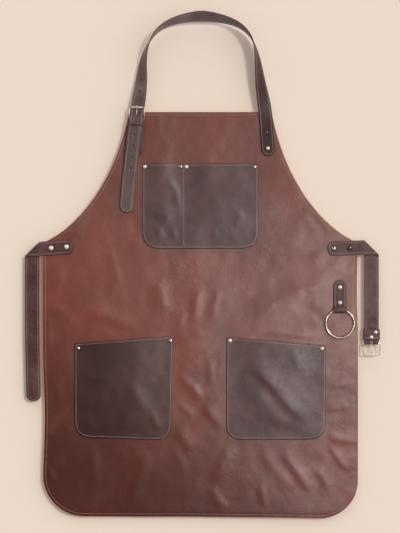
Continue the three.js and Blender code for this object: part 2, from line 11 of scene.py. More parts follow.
import bpy
import numpy as np
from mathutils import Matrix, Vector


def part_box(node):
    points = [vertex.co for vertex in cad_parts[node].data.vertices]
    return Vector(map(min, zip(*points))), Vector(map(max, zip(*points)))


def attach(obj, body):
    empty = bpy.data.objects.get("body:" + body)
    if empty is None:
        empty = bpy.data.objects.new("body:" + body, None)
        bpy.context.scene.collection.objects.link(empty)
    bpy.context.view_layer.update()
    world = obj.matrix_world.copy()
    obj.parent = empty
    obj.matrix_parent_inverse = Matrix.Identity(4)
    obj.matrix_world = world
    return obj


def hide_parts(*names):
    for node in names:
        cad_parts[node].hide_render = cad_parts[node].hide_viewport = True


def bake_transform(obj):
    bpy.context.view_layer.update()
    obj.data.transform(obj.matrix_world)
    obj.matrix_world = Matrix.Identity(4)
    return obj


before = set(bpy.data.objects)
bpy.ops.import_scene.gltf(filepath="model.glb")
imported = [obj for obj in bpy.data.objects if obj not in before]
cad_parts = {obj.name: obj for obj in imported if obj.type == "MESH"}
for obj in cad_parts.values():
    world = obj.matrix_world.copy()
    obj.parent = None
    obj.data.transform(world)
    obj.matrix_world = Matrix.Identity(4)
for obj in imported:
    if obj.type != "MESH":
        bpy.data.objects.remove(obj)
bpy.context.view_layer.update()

MM = 0.001


def cad_corners(node):
    """A CAD node's lowest and highest corners, in millimetres."""
    low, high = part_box(node)
    return np.array(low) / MM, np.array(high) / MM


def cad_middle(node):
    """The middle of a CAD node's box, in millimetres."""
    return sum(cad_corners(node)) / 2


# ------------------------------------------------------------------ sizes

# the body panel
PANEL_LOW, PANEL_HIGH = cad_corners("body_panel")
PANEL_THICK = PANEL_HIGH[1] - PANEL_LOW[1]
PANEL_HALF = PANEL_HIGH[0]
PANEL_FRONT = PANEL_LOW[1]
BIB_HALF = 136
SHOULDER_Z = 3
SHOULDER_ROUND = 9
HEM_RADIUS_LEFT = 79
HEM_RADIUS_RIGHT = 71
HEM_TILT = 0.006  # the hem hangs a little lower on the right
LEFT_SWAY = 4  # how far the straight side edges move in
RIGHT_SWAY = 2
PANEL_GRID = (168, 234)

# the pockets
POCKET_THICK = 1.8
POCKET_INSET = 2.9
POCKET_GAP = 0.06  # between the panel's leather and a pocket's
POCKET_RIM = 7  # how wide the flat, sewn border of a pocket is
BIB_SEAM_X = -31.5
BIB_POCKET_ROUND = 34
HIP_POCKET_ROUND = 31
LEFT_POCKET_CORNERS = [(-239.5, -366), (-56, -372), (-51.5, -173), (-239.5, -187.5)]
RIGHT_POCKET_CORNERS = [(49, -371), (238, -370), (239.5, -192), (50, -175)]

# stitches, and the grooves that they lie in
STITCH_PITCH = 4.1
STITCH_LENGTH = 1.9
STITCH_RADIUS = 0.5
# A stitch hole is drawn as a flat dark disc of painted shade; its size and its lift are set
# here.
STITCH_HOLE = (0.95, 0.5)  # half its length along the seam and half its width
STITCH_SLANT = 0.12  # how far a stitch turns out of its seam, as a slope
STITCH_HOLE_LIFT = 0.16  # keeps the mouth of a hole above the curved bottom of the groove
STITCH_SINK = 0.12  # how far the middle of a thread lies below the leather's face
THIN_STITCH_SINK = 0.1
STITCH_SIDES = 6
STITCH_RINGS = [(-0.5, 0.3), (-0.3, 0.85), (0, 1), (0.3, 0.85), (0.5, 0.3)]  # place and girth
STITCH_DIP = 1.2  # how deep a stitch's ends go in
HEM_INSET = 5
STRAP_INSET = 3.4
GROOVE_DEPTH = 0.15
GROOVE_REACH = 0.55  # how wide it is, as the reach of a soft dip
GROOVE_SIDE = 0.7  # the next points beside its bottom

# where points lie in from a cut edge, for a sheet and for a strap
SHEET_INSETS = [0, 0.35, 0.9, 2.4, 4.2, 4.7, 5.2, 5.8, 8]
EDGE_STEPS = [0, 0.35, 0.9]
ROUND_END_ANGLES = [0, 6, 13, 21, 30, 40, 52, 64, 77, 90]

# straps and what they are fastened with
STRAP_THICK = 2.6
TURNED_THICK = 1.4  # leather that is turned round a bar is thinner
NECK_WIDTH = 25.8
WAIST_WIDTH = 27.5
HOLE_PITCH = 21.4
HOLE_RADIUS = 1.5
HOLE_BACK = 0.3  # a hole's radius at the back, as a share of the front
HOLE_CLEAR = 2.4  # no other rows of points come closer to a hole, in hole radii
BUCKLE_BAR = 1.15
ROLLER_RADIUS = 1.5
BUCKLE_BORE = 1.8  # the radius that leather is turned on round a heel bar
TURNED_GAP = 0.15
TURNED_STEP = 0.4
PRONG_SLOT_HALF = 2.4
BAND_WALL = 1.4
BAND_STEP = 1.2

RIVETS = sorted(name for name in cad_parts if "_rivet_" in name)
# These rivets are coloured dark as painted shade: it stands in for their domes reflecting a dark
# room.
PAINTED_SHADE_RIVETS = ["neck_anchor_rivet_1", "right_waist_tab_rivet_1"]
WORN_RIVETS = ["bib_pocket_rivet_2", "bib_pocket_rivet_4", "left_pocket_rivet_1",
               "left_pocket_rivet_2", "right_waist_tab_rivet_2"]


# ------------------------------------------------------------------ small maths

NOISE_CELLS = 64  # smooth noise repeats after this many lumps
FOLD_FADE = 0.35  # the share of a fold's length over which it fades at each end


def smooth(t):
    """0 below t = 0, 1 above t = 1, and a smooth step between."""
    t = np.clip(t, 0, 1)
    return t * t * (3 - 2 * t)


def unit(vectors):
    """The vectors, each made one long."""
    length = np.linalg.norm(vectors, axis=-1, keepdims=True)
    return vectors / np.maximum(length, 1e-9)


def soft_noise(x, z, size, seed):
    """Smooth noise from -1 to 1 with lumps about `size` across."""
    table = np.random.RandomState(seed).uniform(-1, 1, (NOISE_CELLS, NOISE_CELLS))
    u = np.asarray(x, float) / size + 31.3
    v = np.asarray(z, float) / size + 17.7
    i = np.floor(u).astype(int)
    j = np.floor(v).astype(int)
    a = smooth(u - i)
    b = smooth(v - j)

    def at_row(row):
        row = row % NOISE_CELLS
        return table[i % NOISE_CELLS, row] * (1 - a) + table[(i + 1) % NOISE_CELLS, row] * a

    return at_row(j) * (1 - b) + at_row(j + 1) * b


def distances_along(points):
    """How far along a polyline each of its points is."""
    steps = np.linalg.norm(np.diff(points, axis=0), axis=1)
    return np.concatenate([[0], np.cumsum(steps)])


def closed(points):
    """A loop's points, with the first one again at the end."""
    return np.vstack([points, points[:1]])


def fold(x, z, path, left, right, height):
    """A soft fold along a path of x, z points; it fades out at both ends.

    left and right are how far it falls away to each side, as seen travelling the path.
    """
    path = spline(path, 6)
    starts = distances_along(path)
    nearest = np.full(np.shape(x), np.inf)
    along = np.zeros(np.shape(x))
    on_left = np.zeros(np.shape(x), bool)
    for start, step, before, length in zip(path, np.diff(path, axis=0), starts, np.diff(starts)):
        dx, dz = x - start[0], z - start[1]
        share = np.clip((dx * step[0] + dz * step[1]) / length**2, 0, 1)
        away = np.hypot(dx - share * step[0], dz - share * step[1])
        closer = away < nearest
        nearest = np.where(closer, away, nearest)
        along = np.where(closer, before + share * length, along)
        on_left = np.where(closer, step[0] * dz > step[1] * dx, on_left)
    fade_length = FOLD_FADE * starts[-1]
    fade = smooth(along / fade_length) * smooth((starts[-1] - along) / fade_length)
    width = np.where(on_left, left, right)
    return height * fade * np.exp(-((nearest / width) ** 2))


def turned_left(directions):
    return np.column_stack([-directions[:, 1], directions[:, 0]])


def arc(cx, cz, radius, start, end, count):
    """Points on an arc, its angles in degrees."""
    angles = np.radians(np.linspace(start, end, count))
    return np.column_stack([cx + radius * np.cos(angles), cz + radius * np.sin(angles)])


def bezier(a, b, c, d, count):
    """A cubic curve from a to d that b and c pull towards themselves."""
    t = np.linspace(0, 1, count)[:, None]
    a, b, c, d = (np.array(p, float) for p in (a, b, c, d))
    return (1 - t) ** 3 * a + 3 * (1 - t) ** 2 * t * b + 3 * (1 - t) * t * t * c + t**3 * d


def resample(points, segments):
    """The polyline again, with evenly spaced points."""
    points = np.asarray(points, float)
    along = distances_along(points)
    wanted = np.linspace(0, along[-1], segments + 1)
    return np.column_stack([np.interp(wanted, along, axis) for axis in points.T])


def spline(points, count):
    """A smooth curve through the points, with `count` steps from each to the next."""
    points = np.asarray(points, float)
    padded = np.vstack([2 * points[0] - points[1], points, 2 * points[-1] - points[-2]])
    t = np.linspace(0, 1, count, endpoint=False)[:, None]
    parts = []
    for a, b, c, d in zip(padded, padded[1:], padded[2:], padded[3:]):
        square = (2 * a - 5 * b + 4 * c - d) * t**2
        cube = (3 * b - a - 3 * c + d) * t**3
        parts.append(0.5 * (2 * b + (c - a) * t + square + cube))
    return np.vstack([*parts, points[-1:]])


# ------------------------------------------------------------------ meshes


def add_mesh(name, points, faces, materials, slots=None):
    """A smooth mesh object from points in millimetres, with unused points left out."""
    points = np.asarray(points, float)
    used = np.unique([i for face in faces for i in face])
    renumber = np.full(len(points), -1)
    renumber[used] = np.arange(len(used))
    mesh = bpy.data.meshes.new(name)
    faces = [[int(renumber[i]) for i in face] for face in faces]
    mesh.from_pydata((points[used] * MM).tolist(), [], faces)
    for material in materials:
        mesh.materials.append(material)
    if slots is not None:
        mesh.polygons.foreach_set("material_index", slots)
    mesh.polygons.foreach_set("use_smooth", [True] * len(faces))
    mesh.validate()
    piece = bpy.data.objects.new(name, mesh)
    bpy.context.scene.collection.objects.link(piece)
    return piece


class MeshParts:
    """Points and faces of several closed bodies that become one mesh."""

    def __init__(self):
        self.points = []
        self.faces = []
        self.slots = []
        self.count = 0

    def add(self, points, faces, slot=0):
        self.points.append(np.asarray(points, float))
        self.faces += [[i + self.count for i in face] for face in faces]
        self.slots += [slot] * len(faces)
        self.count += len(points)

    def mirror_faces(self):
        """Turns the faces of mirrored bodies outwards again."""
        self.faces = turned_over(self.faces)

    def build(self, name, *materials):
        return add_mesh(name, np.vstack(self.points), self.faces, materials, self.slots)


def turned_over(faces):
    """The same faces, seen from their other side."""
    return [face[::-1] for face in faces]


def ring_faces(rows, sides, joined=False):
    """The faces between rings of points; joined means that the last ring meets the first."""
    total = rows * sides
    faces = []
    for row in range(rows if joined else rows - 1):
        for k in range(sides):
            a = row * sides + k
            b = row * sides + (k + 1) % sides
            faces.append([a, (a + sides) % total, (b + sides) % total, b])
    return faces


def tube_faces(rows, sides):
    """The faces of a row of rings with a cap at each end."""
    caps = [list(range(sides)), list(range((rows - 1) * sides, rows * sides))[::-1]]
    return ring_faces(rows, sides) + caps


def round_angles(count):
    """Evenly spaced angles once round a circle."""
    return np.linspace(0, 2 * math.pi, count, endpoint=False)


def lathe(profile, middle, sides=28):
    """A body turned about the y axis through `middle`, from (radius, y) points."""
    points = [
        middle + np.array([r * math.cos(a), y, r * math.sin(a)])
        for r, y in profile
        for a in round_angles(sides)
    ]
    return points, turned_over(tube_faces(len(profile), sides))


def wire(path, radii, joined, sides=16, up=(0, 1, 0)):
    """A round bar along a path; radii are (radius across, radius along `up`) per point."""
    path = np.asarray(path, float)
    if joined:
        tangent = unit(np.roll(path, -1, axis=0) - np.roll(path, 1, axis=0))
        faces = ring_faces(len(path), sides, joined=True)
    else:
        tangent = unit(np.gradient(path, axis=0))
        faces = tube_faces(len(path), sides)
    across = unit(np.cross(tangent, np.array(up, float)))
    upward = unit(np.cross(across, tangent))
    radii = np.broadcast_to(np.asarray(radii, float), (len(path), 2))
    points = [
        path[i] + across[i] * radii[i, 0] * math.cos(a) + upward[i] * radii[i, 1] * math.sin(a)
        for i in range(len(path))
        for a in round_angles(sides)
    ]
    return points, faces


# ------------------------------------------------------------------ sheets


def bump_at(value, middle, reach):
    """1 at the middle, fading smoothly to 0 away from it."""
    return np.exp(-(((value - middle) / reach) ** 2))


def edge_drop(distance, depth=0.6, width=1.0):
    """How far a cut leather edge is rounded off at a distance from it."""
    return depth * np.clip(1 - distance / width, 0, 1) ** 2


def stitch_groove(distance, inset):
    """How deep the groove of the stitches is, at a distance from the edge."""
    return GROOVE_DEPTH * bump_at(distance, inset, GROOVE_REACH)


def moved_inwards(outline, inset):
    """A closed outline, drawn anticlockwise, moved inwards with mitred corners."""
    first = unit(outline - np.roll(outline, 1, axis=0))
    second = unit(np.roll(outline, -1, axis=0) - outline)
    inward_first = turned_left(first)
    middle = unit(inward_first + turned_left(second))
    mitre = 1 / np.maximum((middle * inward_first).sum(axis=1, keepdims=True), 0.5)
    return outline + inset * mitre * middle


def inset_outline(sides, columns, rows, inset):
    """A four-sided outline moved inwards, each of its sides evenly spaced again."""
    counts = [columns, rows, columns, rows]
    outline = np.vstack([resample(side, n)[:-1] for side, n in zip(sides, counts)])
    if inset == 0:
        return outline
    moved = closed(moved_inwards(outline, inset))
    starts = np.concatenate([[0], np.cumsum(counts)])
    ring = []
    for start, count in zip(starts, counts):
        side = moved[start : start + count + 1]
        way_in = unit(side[count // 4] - side[0])
        way_out = unit(side[-1] - side[-1 - count // 4])
        early = np.arange(count + 1) < count / 2
        inside = np.where(early, (side - side[0]) @ way_in, (side[-1] - side) @ way_out) > 0.2
        inside[[0, -1]] = True
        ring.append(resample(side[inside], count)[:-1])
    return np.vstack(ring)


def filled_grid(boundary, columns, rows):
    """The points inside a four-sided boundary, blended from its sides."""
    bottom = boundary[: columns + 1]
    right = boundary[columns : columns + rows + 1]
    top = boundary[columns + rows : 2 * columns + rows + 1][::-1]
    left = closed(boundary)[2 * columns + rows :][::-1]
    u = np.linspace(0, 1, columns + 1)[None, :, None]
    v = np.linspace(0, 1, rows + 1)[:, None, None]
    sides = (1 - v) * bottom[None] + v * top[None] + (1 - u) * left[:, None] + u * right[:, None]
    corners = (1 - u) * (1 - v) * bottom[0] + u * (1 - v) * bottom[-1]
    corners = corners + (1 - u) * v * top[0] + u * v * top[-1]
    return (sides - corners)[1:-1, 1:-1].reshape(-1, 2)


def sheet_faces(columns, rows, ring_count):
    """One face of a sheet: the rings along its edge, and then the field inside them."""
    ring_size = 2 * (columns + rows)
    last_ring = (ring_count - 1) * ring_size
    inner_start = ring_count * ring_size

    def corner(i, j):
        if j == 0:
            return last_ring + i
        if i == columns:
            return last_ring + columns + j
        if j == rows:
            return last_ring + columns + rows + (columns - i)
        if i == 0:
            return last_ring + 2 * columns + rows + (rows - j)
        return inner_start + (j - 1) * (columns - 1) + (i - 1)

    field = [
        [corner(i, j), corner(i + 1, j), corner(i + 1, j + 1), corner(i, j + 1)]
        for j in range(rows)
        for i in range(columns)
    ]
    return turned_over(ring_faces(ring_count, ring_size)) + field


def sheet(name, sides, columns, rows, thick, inset, place, materials):
    """A leather sheet with a cut edge and a stitch groove on both faces.

    sides are its bottom, right, top and left edges, anticlockwise; place(xz, height) gives
    the world position of a point at a height above the sheet's back face. materials are
    those of its front, its cut edge and its back.
    """
    rings = [inset_outline(sides, columns, rows, d) for d in SHEET_INSETS]
    ring_size = len(rings[0])
    inner = filled_grid(rings[-1], columns, rows)
    flat = np.vstack([*rings, inner])
    far_in = np.full(len(inner), 99.0)
    distance = np.concatenate([np.repeat(SHEET_INSETS, ring_size), far_in])
    relief = edge_drop(distance) + stitch_groove(distance, inset)
    points = np.vstack([place(flat, thick - relief), place(flat, relief)])

    front = sheet_faces(columns, rows, len(rings))
    back = turned_over([[i + len(flat) for i in face] for face in front])
    rim = [[k, k + len(flat), n + len(flat), n]
           for k, n in zip(range(ring_size), [*range(1, ring_size), 0])]
    field = len(front) - ring_size
    slots = [1] * ring_size + [0] * field + [1] * ring_size + [2] * field + [1] * ring_size
    return add_mesh(name, points, front + back + rim, materials, slots)


# ------------------------------------------------------------------ straps


class Strap:
    """A flat strap with round or clipped ends, punched holes and a stitch groove.

    slot is a long hole: where it starts and ends, and half its width. fine lists stretches
    with closer rows: start, end and spacing. skew(s) turns a row aside.
    """

    def __init__(self, length, width, thick, step, holes=(), slot=None, start="square",
                 end="square", corner=None, skew=None, fine=(), inset=STRAP_INSET,
                 back_slot=0):
        self.length = length
        self.half = width / 2
        self.thick = thick
        self.inset = inset
        self.back_slot = back_slot  # the material of its back
        self.ends = (start, end)
        self.corner = corner or self.half
        self.skew = skew or (lambda s: 0.0)
        self.holes = list(holes)
        self.slot = slot
        self.cross = self.cross_positions()
        self.rows = self.row_positions(step, fine)

    def cross_positions(self):
        """Distances across the strap: close together at its edges and its middle."""
        groove = [self.inset - GROOVE_SIDE, self.inset, self.inset + GROOVE_SIDE]
        edge = [*EDGE_STEPS, *groove]
        inner = self.half - groove[-1]
        middle = HOLE_RADIUS if self.slot is None else self.slot[2]
        between = np.linspace(inner, middle, 5)[1:-1]
        positive = [self.half - d for d in edge] + list(between) + [middle]
        return np.array([-w for w in positive] + [0] + positive[::-1])

    def row_positions(self, step, fine):
        """Distances along the strap: close together at its ends, holes and fine stretches."""
        rows = set(np.round(np.linspace(0, self.length, int(self.length / step) + 2), 4))
        for low, high, spacing in fine:
            rows = {s for s in rows if not low <= s <= high}
            rows |= set(np.round(np.arange(low, high + spacing / 2, spacing), 4))
        bends = self.corner * (1 - np.cos(np.radians(ROUND_END_ANGLES)))
        cuts = np.array([*EDGE_STEPS, self.corner / 2, self.corner])
        for style, place in zip(self.ends, (lambda d: d, lambda d: self.length - d)):
            if style == "square":
                continue
            low, high = sorted([place(0), place(self.corner)])
            rows = {s for s in rows if not low <= s <= high}
            marks = bends if style == "round" else cuts
            rows |= {round(float(place(d)), 4) for d in marks}
        for hole in self.holes:
            rows = {s for s in rows if abs(s - hole) > HOLE_CLEAR * HOLE_RADIUS}
            rows |= {hole + k * HOLE_RADIUS for k in (-HOLE_CLEAR, -1, 0, 1, HOLE_CLEAR)}
        if self.slot:
            low, high, _ = self.slot
            rows = {s for s in rows if min(abs(s - low), abs(s - high)) > 0.4} | {low, high}
        return np.array(sorted(rows))

    def share(self, s):
        """The strap's width at s as a share of its full width."""
        cut_in = np.zeros_like(s)
        for style, d in zip(self.ends, (s, self.length - s)):
            left = np.clip(self.corner - d, 0, self.corner)
            if style == "round":
                left = self.corner - np.sqrt(self.corner**2 - left**2)
            if style != "square":
                cut_in = np.maximum(cut_in, left)
        return np.maximum(1 - cut_in / self.half, 0.01)

    def edge_distance(self, s, w):
        """How far a point is from the nearest cut edge."""
        distance = self.half - np.abs(w)
        for style, d in zip(self.ends, (s, self.length - s)):
            if style == "round":
                beside = np.abs(w) - (self.half - self.corner)
                round_part = self.corner - np.hypot(self.corner - d, np.maximum(beside, 0))
                distance = np.where(d < self.corner, np.minimum(distance, round_part), distance)
            if style == "clip":
                cut = (self.half - self.corner - np.abs(w) + d) / math.sqrt(2)
                distance = np.minimum(distance, np.minimum(cut, d))
        return distance

    def height(self, s, w):
        """How far the strap's faces are from its middle layer."""
        distance = self.edge_distance(s, w)
        relief = edge_drop(distance, 0.5, 0.9) + stitch_groove(distance, self.inset)
        return self.thick / 2 - relief

    def row_at(self, s):
        return int(np.argmin(np.abs(self.rows - s)))

    def build(self, name, bend, materials):
        """The strap's mesh; bend(s, w, h) gives world positions."""
        row_s, col_w = np.meshgrid(self.rows, self.cross, indexing="ij")
        w = col_w * self.share(row_s)
        s = row_s + w * np.array([self.skew(r) for r in self.rows])[:, None]
        middle = len(self.cross) // 2
        removed = np.zeros((len(self.rows) - 1, len(self.cross) - 1), bool)
        for hole in self.holes:
            r = self.row_at(hole)
            for i in (-1, 0, 1):
                for j in (-1, 0, 1):
                    reach = HOLE_RADIUS / max(math.hypot(i, j), 1)
                    s[r + i, middle + j] = hole + i * reach
                    w[r + i, middle + j] = j * reach
            removed[r - 1 : r + 1, middle - 1 : middle + 1] = True
        if self.slot:
            low, high = (self.row_at(edge) for edge in self.slot[:2])
            removed[low:high, middle - 1 : middle + 1] = True
        height = self.height(s, w)
        front = bend(s.ravel(), w.ravel(), height.ravel())
        for hole in self.holes:
            r = self.row_at(hole)
            near = (slice(r - 1, r + 2), slice(middle - 1, middle + 2))
            s[near] = hole + (s[near] - hole) * HOLE_BACK
            w[near] = w[near] * HOLE_BACK
        back = bend(s.ravel(), w.ravel(), -height.ravel())
        faces, slots = self.faces(removed)
        return add_mesh(name, np.vstack([front, back]), faces, materials, slots)

    def faces(self, removed):
        """Both faces, and walls wherever the leather ends; and each face's material slot."""
        row_count, column_count = len(self.rows), len(self.cross)
        back = row_count * column_count
        faces = []
        slots = []

        def index(i, j):
            return i * column_count + j

        def is_solid(i, j):
            inside = 0 <= i < row_count - 1 and 0 <= j < column_count - 1
            return inside and not removed[i, j]

        for i in range(row_count - 1):
            for j in range(column_count - 1):
                if removed[i, j]:
                    continue
                a, b = index(i, j), index(i + 1, j)
                c, d = index(i + 1, j + 1), index(i, j + 1)
                at_edge = j in (0, column_count - 2)
                faces.append([a, b, c, d])
                faces.append([d + back, c + back, b + back, a + back])
                slots += [1, 1] if at_edge else [0, self.back_slot]
                beside = [(i, j - 1, b, a), (i, j + 1, d, c), (i - 1, j, a, d), (i + 1, j, c, b)]
                for row, column, start, end in beside:
                    if not is_solid(row, column):
                        faces.append([start, end, end + back, start + back])
                        slots.append(1)
        return faces, slots

    def stitch_lines(self, start=0.0, stop=None):
        """The stitch lines in s and w: along both edges, and round a rounded end."""
        stop = self.length if stop is None else stop
        reach = self.half - self.inset
        low_round = self.ends[0] == "round" and start <= 0
        high_round = self.ends[1] == "round" and stop >= self.length
        low = self.corner if low_round else start
        high = self.length - self.corner if high_round else stop
        upper = np.array([[high, reach], [low, reach]])
        lower = np.array([[low, -reach], [high, -reach]])
        turn = max(self.corner - self.inset, 0.5)
        across = self.half - self.corner
        start_turn = [arc(low, across, turn, 90, 180, 9), arc(low, -across, turn, 180, 270, 9)]
        end_turn = [arc(high, -across, turn, -90, 0, 9), arc(high, across, turn, 0, 90, 9)]
        if low_round and high_round:
            return [np.vstack([upper, *start_turn, lower, *end_turn])]
        if low_round:
            return [np.vstack([upper, *start_turn, lower])]
        if high_round:
            return [np.vstack([lower, *end_turn, upper])]
        return [upper, lower]


# ------------------------------------------------------------------ stitching


def add_stitches(parts, line, bend, height, faces=(1, -1), size=1.0):
    """Rows of stitches along a flat line, with flat dark discs of painted shade for the holes
    between them.

    bend(a, b, h) gives world positions; size is how big a stitch is beside a plain one.
    """
    line = np.asarray(line, float)
    count = max(int(distances_along(line)[-1] / (STITCH_PITCH * size)), 1)
    marks = resample(line, count * 2)
    straight = unit(marks[2::2] - marks[:-2:2])
    along = unit(straight + STITCH_SLANT * turned_left(straight))
    share, girth = (np.repeat(row, STITCH_SIDES) for row in zip(*STITCH_RINGS))
    girth = size * STITCH_RADIUS * girth
    angle = np.tile(round_angles(STITCH_SIDES), len(STITCH_RINGS))
    thread = crossed(marks[1::2], along, size * share * STITCH_LENGTH, girth * np.cos(angle))
    rise = np.tile(girth * np.sin(angle) - STITCH_DIP * share**2, count)
    turn = round_angles(STITCH_SIDES)
    half_long, half_wide = size * STITCH_HOLE[0], size * STITCH_HOLE[1]
    # mouth is the flat dark disc at each stitch hole: painted shade for the hole
    mouth = crossed(marks[:-2:2], straight, half_long * np.cos(turn), half_wide * np.sin(turn))
    tube = tube_faces(len(STITCH_RINGS), STITCH_SIDES)
    for side in faces:
        stitch = tube if side < 0 else turned_over(tube)
        parts.add(bend(*thread.T, side * (height + rise)), repeated(stitch, len(share), count))
        level = np.full(len(mouth), side * (height + STITCH_HOLE_LIFT))
        disc = [list(range(STITCH_SIDES))[::-side]]
        parts.add(bend(*mouth.T, level), repeated(disc, STITCH_SIDES, count), slot=1)


def crossed(middles, directions, along, aside):
    """The same small figure at each middle, drawn along its direction and to its left."""
    flat = middles[:, None] + directions[:, None] * along[None, :, None]
    flat = flat + turned_left(directions)[:, None] * aside[None, :, None]
    return flat.reshape(-1, 2)


def repeated(faces, size, count):
    """The faces of one body of `size` points, for `count` bodies in a row."""
    return [[i + k * size for i in face] for k in range(count) for face in faces]


def hand_over(piece, carrier, slot, *nodes):
    """Lets a piece stand for CAD nodes and move with a body, or stay fixed where it is.

    carrier is the body's name, or the two bodies and where a turn would start and end, which are
    not used.
    """
    if isinstance(carrier, str):
        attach(piece, carrier)
    else:
        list(carrier)
        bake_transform(piece)
    if nodes:
        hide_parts(*nodes)


def finish_stitching(parts, name, carrier, slot="strap_leather"):
    """One object for the stitches of a piece."""
    hand_over(parts.build(name, STRAP_THREAD, STITCH_HOLE_SHADE), carrier, slot)


# ------------------------------------------------------------------ materials


class Nodes:
    """Short calls for building a node tree."""

    def __init__(self, tree):
        self.tree = tree
        self.place = self.add("TexCoord", "Object")

    def add(self, kind, output, inputs=(), **settings):
        """A new node's output; inputs are values or other outputs, by socket."""
        node = self.tree.nodes.new("ShaderNode" + kind)
        for name, value in settings.items():
            setattr(node, name, value)
        for socket, value in dict(inputs).items():
            self.set(node.inputs[socket], value)
        return node.outputs[output]

    def set(self, socket, value):
        """Links an output to a socket, or stores a plain value."""
        if isinstance(value, bpy.types.NodeSocket):
            self.tree.links.new(value, socket)
        else:
            socket.default_value = value

    def noise(self, scale, detail=2.0, rough=0.5, place=None, warp=0.0):
        return self.add("TexNoise", "Fac", {
            "Vector": place or self.place, "Scale": scale, "Detail": detail,
            "Roughness": rough, "Distortion": warp})

    def cells(self, scale):
        return self.add("TexVoronoi", "Distance", {"Vector": self.place, "Scale": scale})

    def stretched(self, x, y, z, direction=0):
        """Scaled coordinates; x runs along a direction, in degrees, on the apron's front."""
        return self.add("Mapping", 0, {
            "Vector": self.place, "Rotation": (0, -math.radians(direction), 0),
            "Scale": (1 / x, 1 / y, 1 / z)}, vector_type="TEXTURE")

    def creases(self, direction, spacing):
        """Fine creases along a direction: 0 in a crease and 1 beside it."""
        place = self.stretched(CREASE_STRETCH / spacing, 1 / spacing, 1 / spacing, direction)
        ripple = self.noise(1, 2, 0.5, place=place, warp=0.3)
        away = self.math("ABSOLUTE", self.math("SUBTRACT", ripple, 0.5))
        return self.span(away, 0.0, 0.08)

    def math(self, operation, a, b=0.0):
        return self.add("Math", 0, {0: a, 1: b, 2: 0.0}, operation=operation)

    def span(self, value, from_low, from_high, to_low=0.0, to_high=1.0):
        """A value's range moved to another range, with soft ends."""
        numbers = (value, from_low, from_high, to_low, to_high)
        return self.add("MapRange", 0, enumerate(numbers), interpolation_type="SMOOTHSTEP")

    def along(self, direction, place):
        """How far a place lies along a direction."""
        return self.add("VectorMath", "Value", {0: place, 1: direction}, operation="DOT_PRODUCT")

    def across(self, direction, *ranges):
        """A value that changes along a direction of the piece."""
        return self.span(self.along(direction, self.place), *ranges)

    def mix(self, share, a, b):
        """A colour between a and b."""
        return self.add("Mix", 2, {0: share, 6: a, 7: b}, data_type="RGBA")

    def bump(self, height, distance, under=None):
        inputs = {"Height": height, "Distance": distance, "Strength": 1.0}
        if under is not None:
            inputs["Normal"] = under
        return self.add("Bump", 0, inputs)

    def surface(self, **values):
        """A surface shader, from its inputs' names with _ for a space."""
        inputs = {name.replace("_", " "): value for name, value in values.items()}
        return self.add("BsdfPrincipled", 0, inputs)


def new_material(name, paint):
    """A material from paint(nodes), which gives its surface."""
    material = bpy.data.materials.new(name)
    material.use_nodes = True
    material.node_tree.nodes.clear()
    nodes = Nodes(material.node_tree)
    shader = paint(nodes)
    output = material.node_tree.nodes.new("ShaderNodeOutputMaterial")
    nodes.set(output.inputs["Surface"], shader)
    return material


def srgb(r, g, b):
    """A colour given as 0 to 255 screen values."""
    channels = []
    for c in (r, g, b):
        c = c / 255
        channels.append(c / 12.92 if c <= 0.04045 else ((c + 0.055) / 1.055) ** 2.4)
    return (*channels, 1.0)


def leather(name, dark, base, light, cloud, gloss, lump, crease, sheen, painted_shade=None,
            polished=((0.9, 0, 0.45), -0.4, 0.02)):
    """Leather with cloudy colour, pores, soft lumps and fine creases.

    cloud is how many clouds of colour a metre has, gloss the roughness, lump and crease the
    heights in metres of the lumps and creases, and sheen the strength of the reflection.
    painted_shade is a direction across the piece and a darker colour: painted shade that is
    strongest on the side that the direction points away from. polished is a direction, and
    the distances along it where the leather starts and ends getting shinier.
    """

    def paint(n):
        clouds = n.noise(cloud, 4, 0.6, warp=0.6)
        mottle = n.noise(170, 3, 0.6)
        pores = n.cells(1100)
        colour = leather_colour(n, clouds, mottle, pores, (dark, base, light))
        # painted shade: on one side of the piece the colour darkens towards a deeper colour
        if painted_shade:
            direction, deep = painted_shade
            colour = n.mix(n.across(direction, -0.52, -0.22, 0.72, 0.0), colour, deep)
        rough = n.math("ADD", n.span(clouds, 0.3, 0.7, gloss + 0.05, gloss - 0.04),
                       n.span(mottle, 0.3, 0.7, 0.05, -0.05))
        polish = n.math("MULTIPLY", n.across(*polished, 0.3 * sheen, sheen),
                        n.across((0, 0, 1), 0.0, 0.22, 1.0, 0.74))
        return n.surface(Base_Color=colour, Roughness=rough, Specular_IOR_Level=polish,
                         Normal=leather_grain(n, pores, lump, crease))

    return new_material(name, paint)


def leather_colour(n, clouds, mottle, pores, colours):
    """Clouds of a dark and a base colour, with lighter streaks and mottling."""
    dark, base, light = colours
    streaks = n.noise(1, 3, 0.55, place=n.stretched(11, 26, 26, 75), warp=0.4)
    colour = n.mix(n.span(clouds, 0.36, 0.62), dark, base)
    colour = n.mix(n.math("MULTIPLY", n.span(streaks, 0.5, 0.75), 0.55), colour, light)
    colour = n.mix(n.span(mottle, 0.35, 0.75, 0.0, 0.22), colour, light)
    return n.mix(n.span(pores, 0.0, 0.35, 0.3, 0.0), colour, dark)


def leather_grain(n, pores, lump, crease):
    """The relief: soft lumps, crossing creases where it was worked, pebbles and pores."""
    crossing = n.math("MULTIPLY", n.creases(64, 0.0042), n.creases(-32, 0.0046))
    worked = n.span(n.noise(11, 2, 0.5), 0.46, 0.62)
    creases = n.math("MULTIPLY", n.math("SUBTRACT", 1.0, crossing), worked)
    soft = n.bump(n.noise(75, 2, 0.5), lump)
    lined = n.bump(n.math("SUBTRACT", 1.0, creases), crease, under=soft)
    pebbled = n.bump(n.noise(420, 2, 0.55), PEBBLE_HEIGHT, under=lined)
    return n.bump(pores, PORE_HEIGHT, under=pebbled)


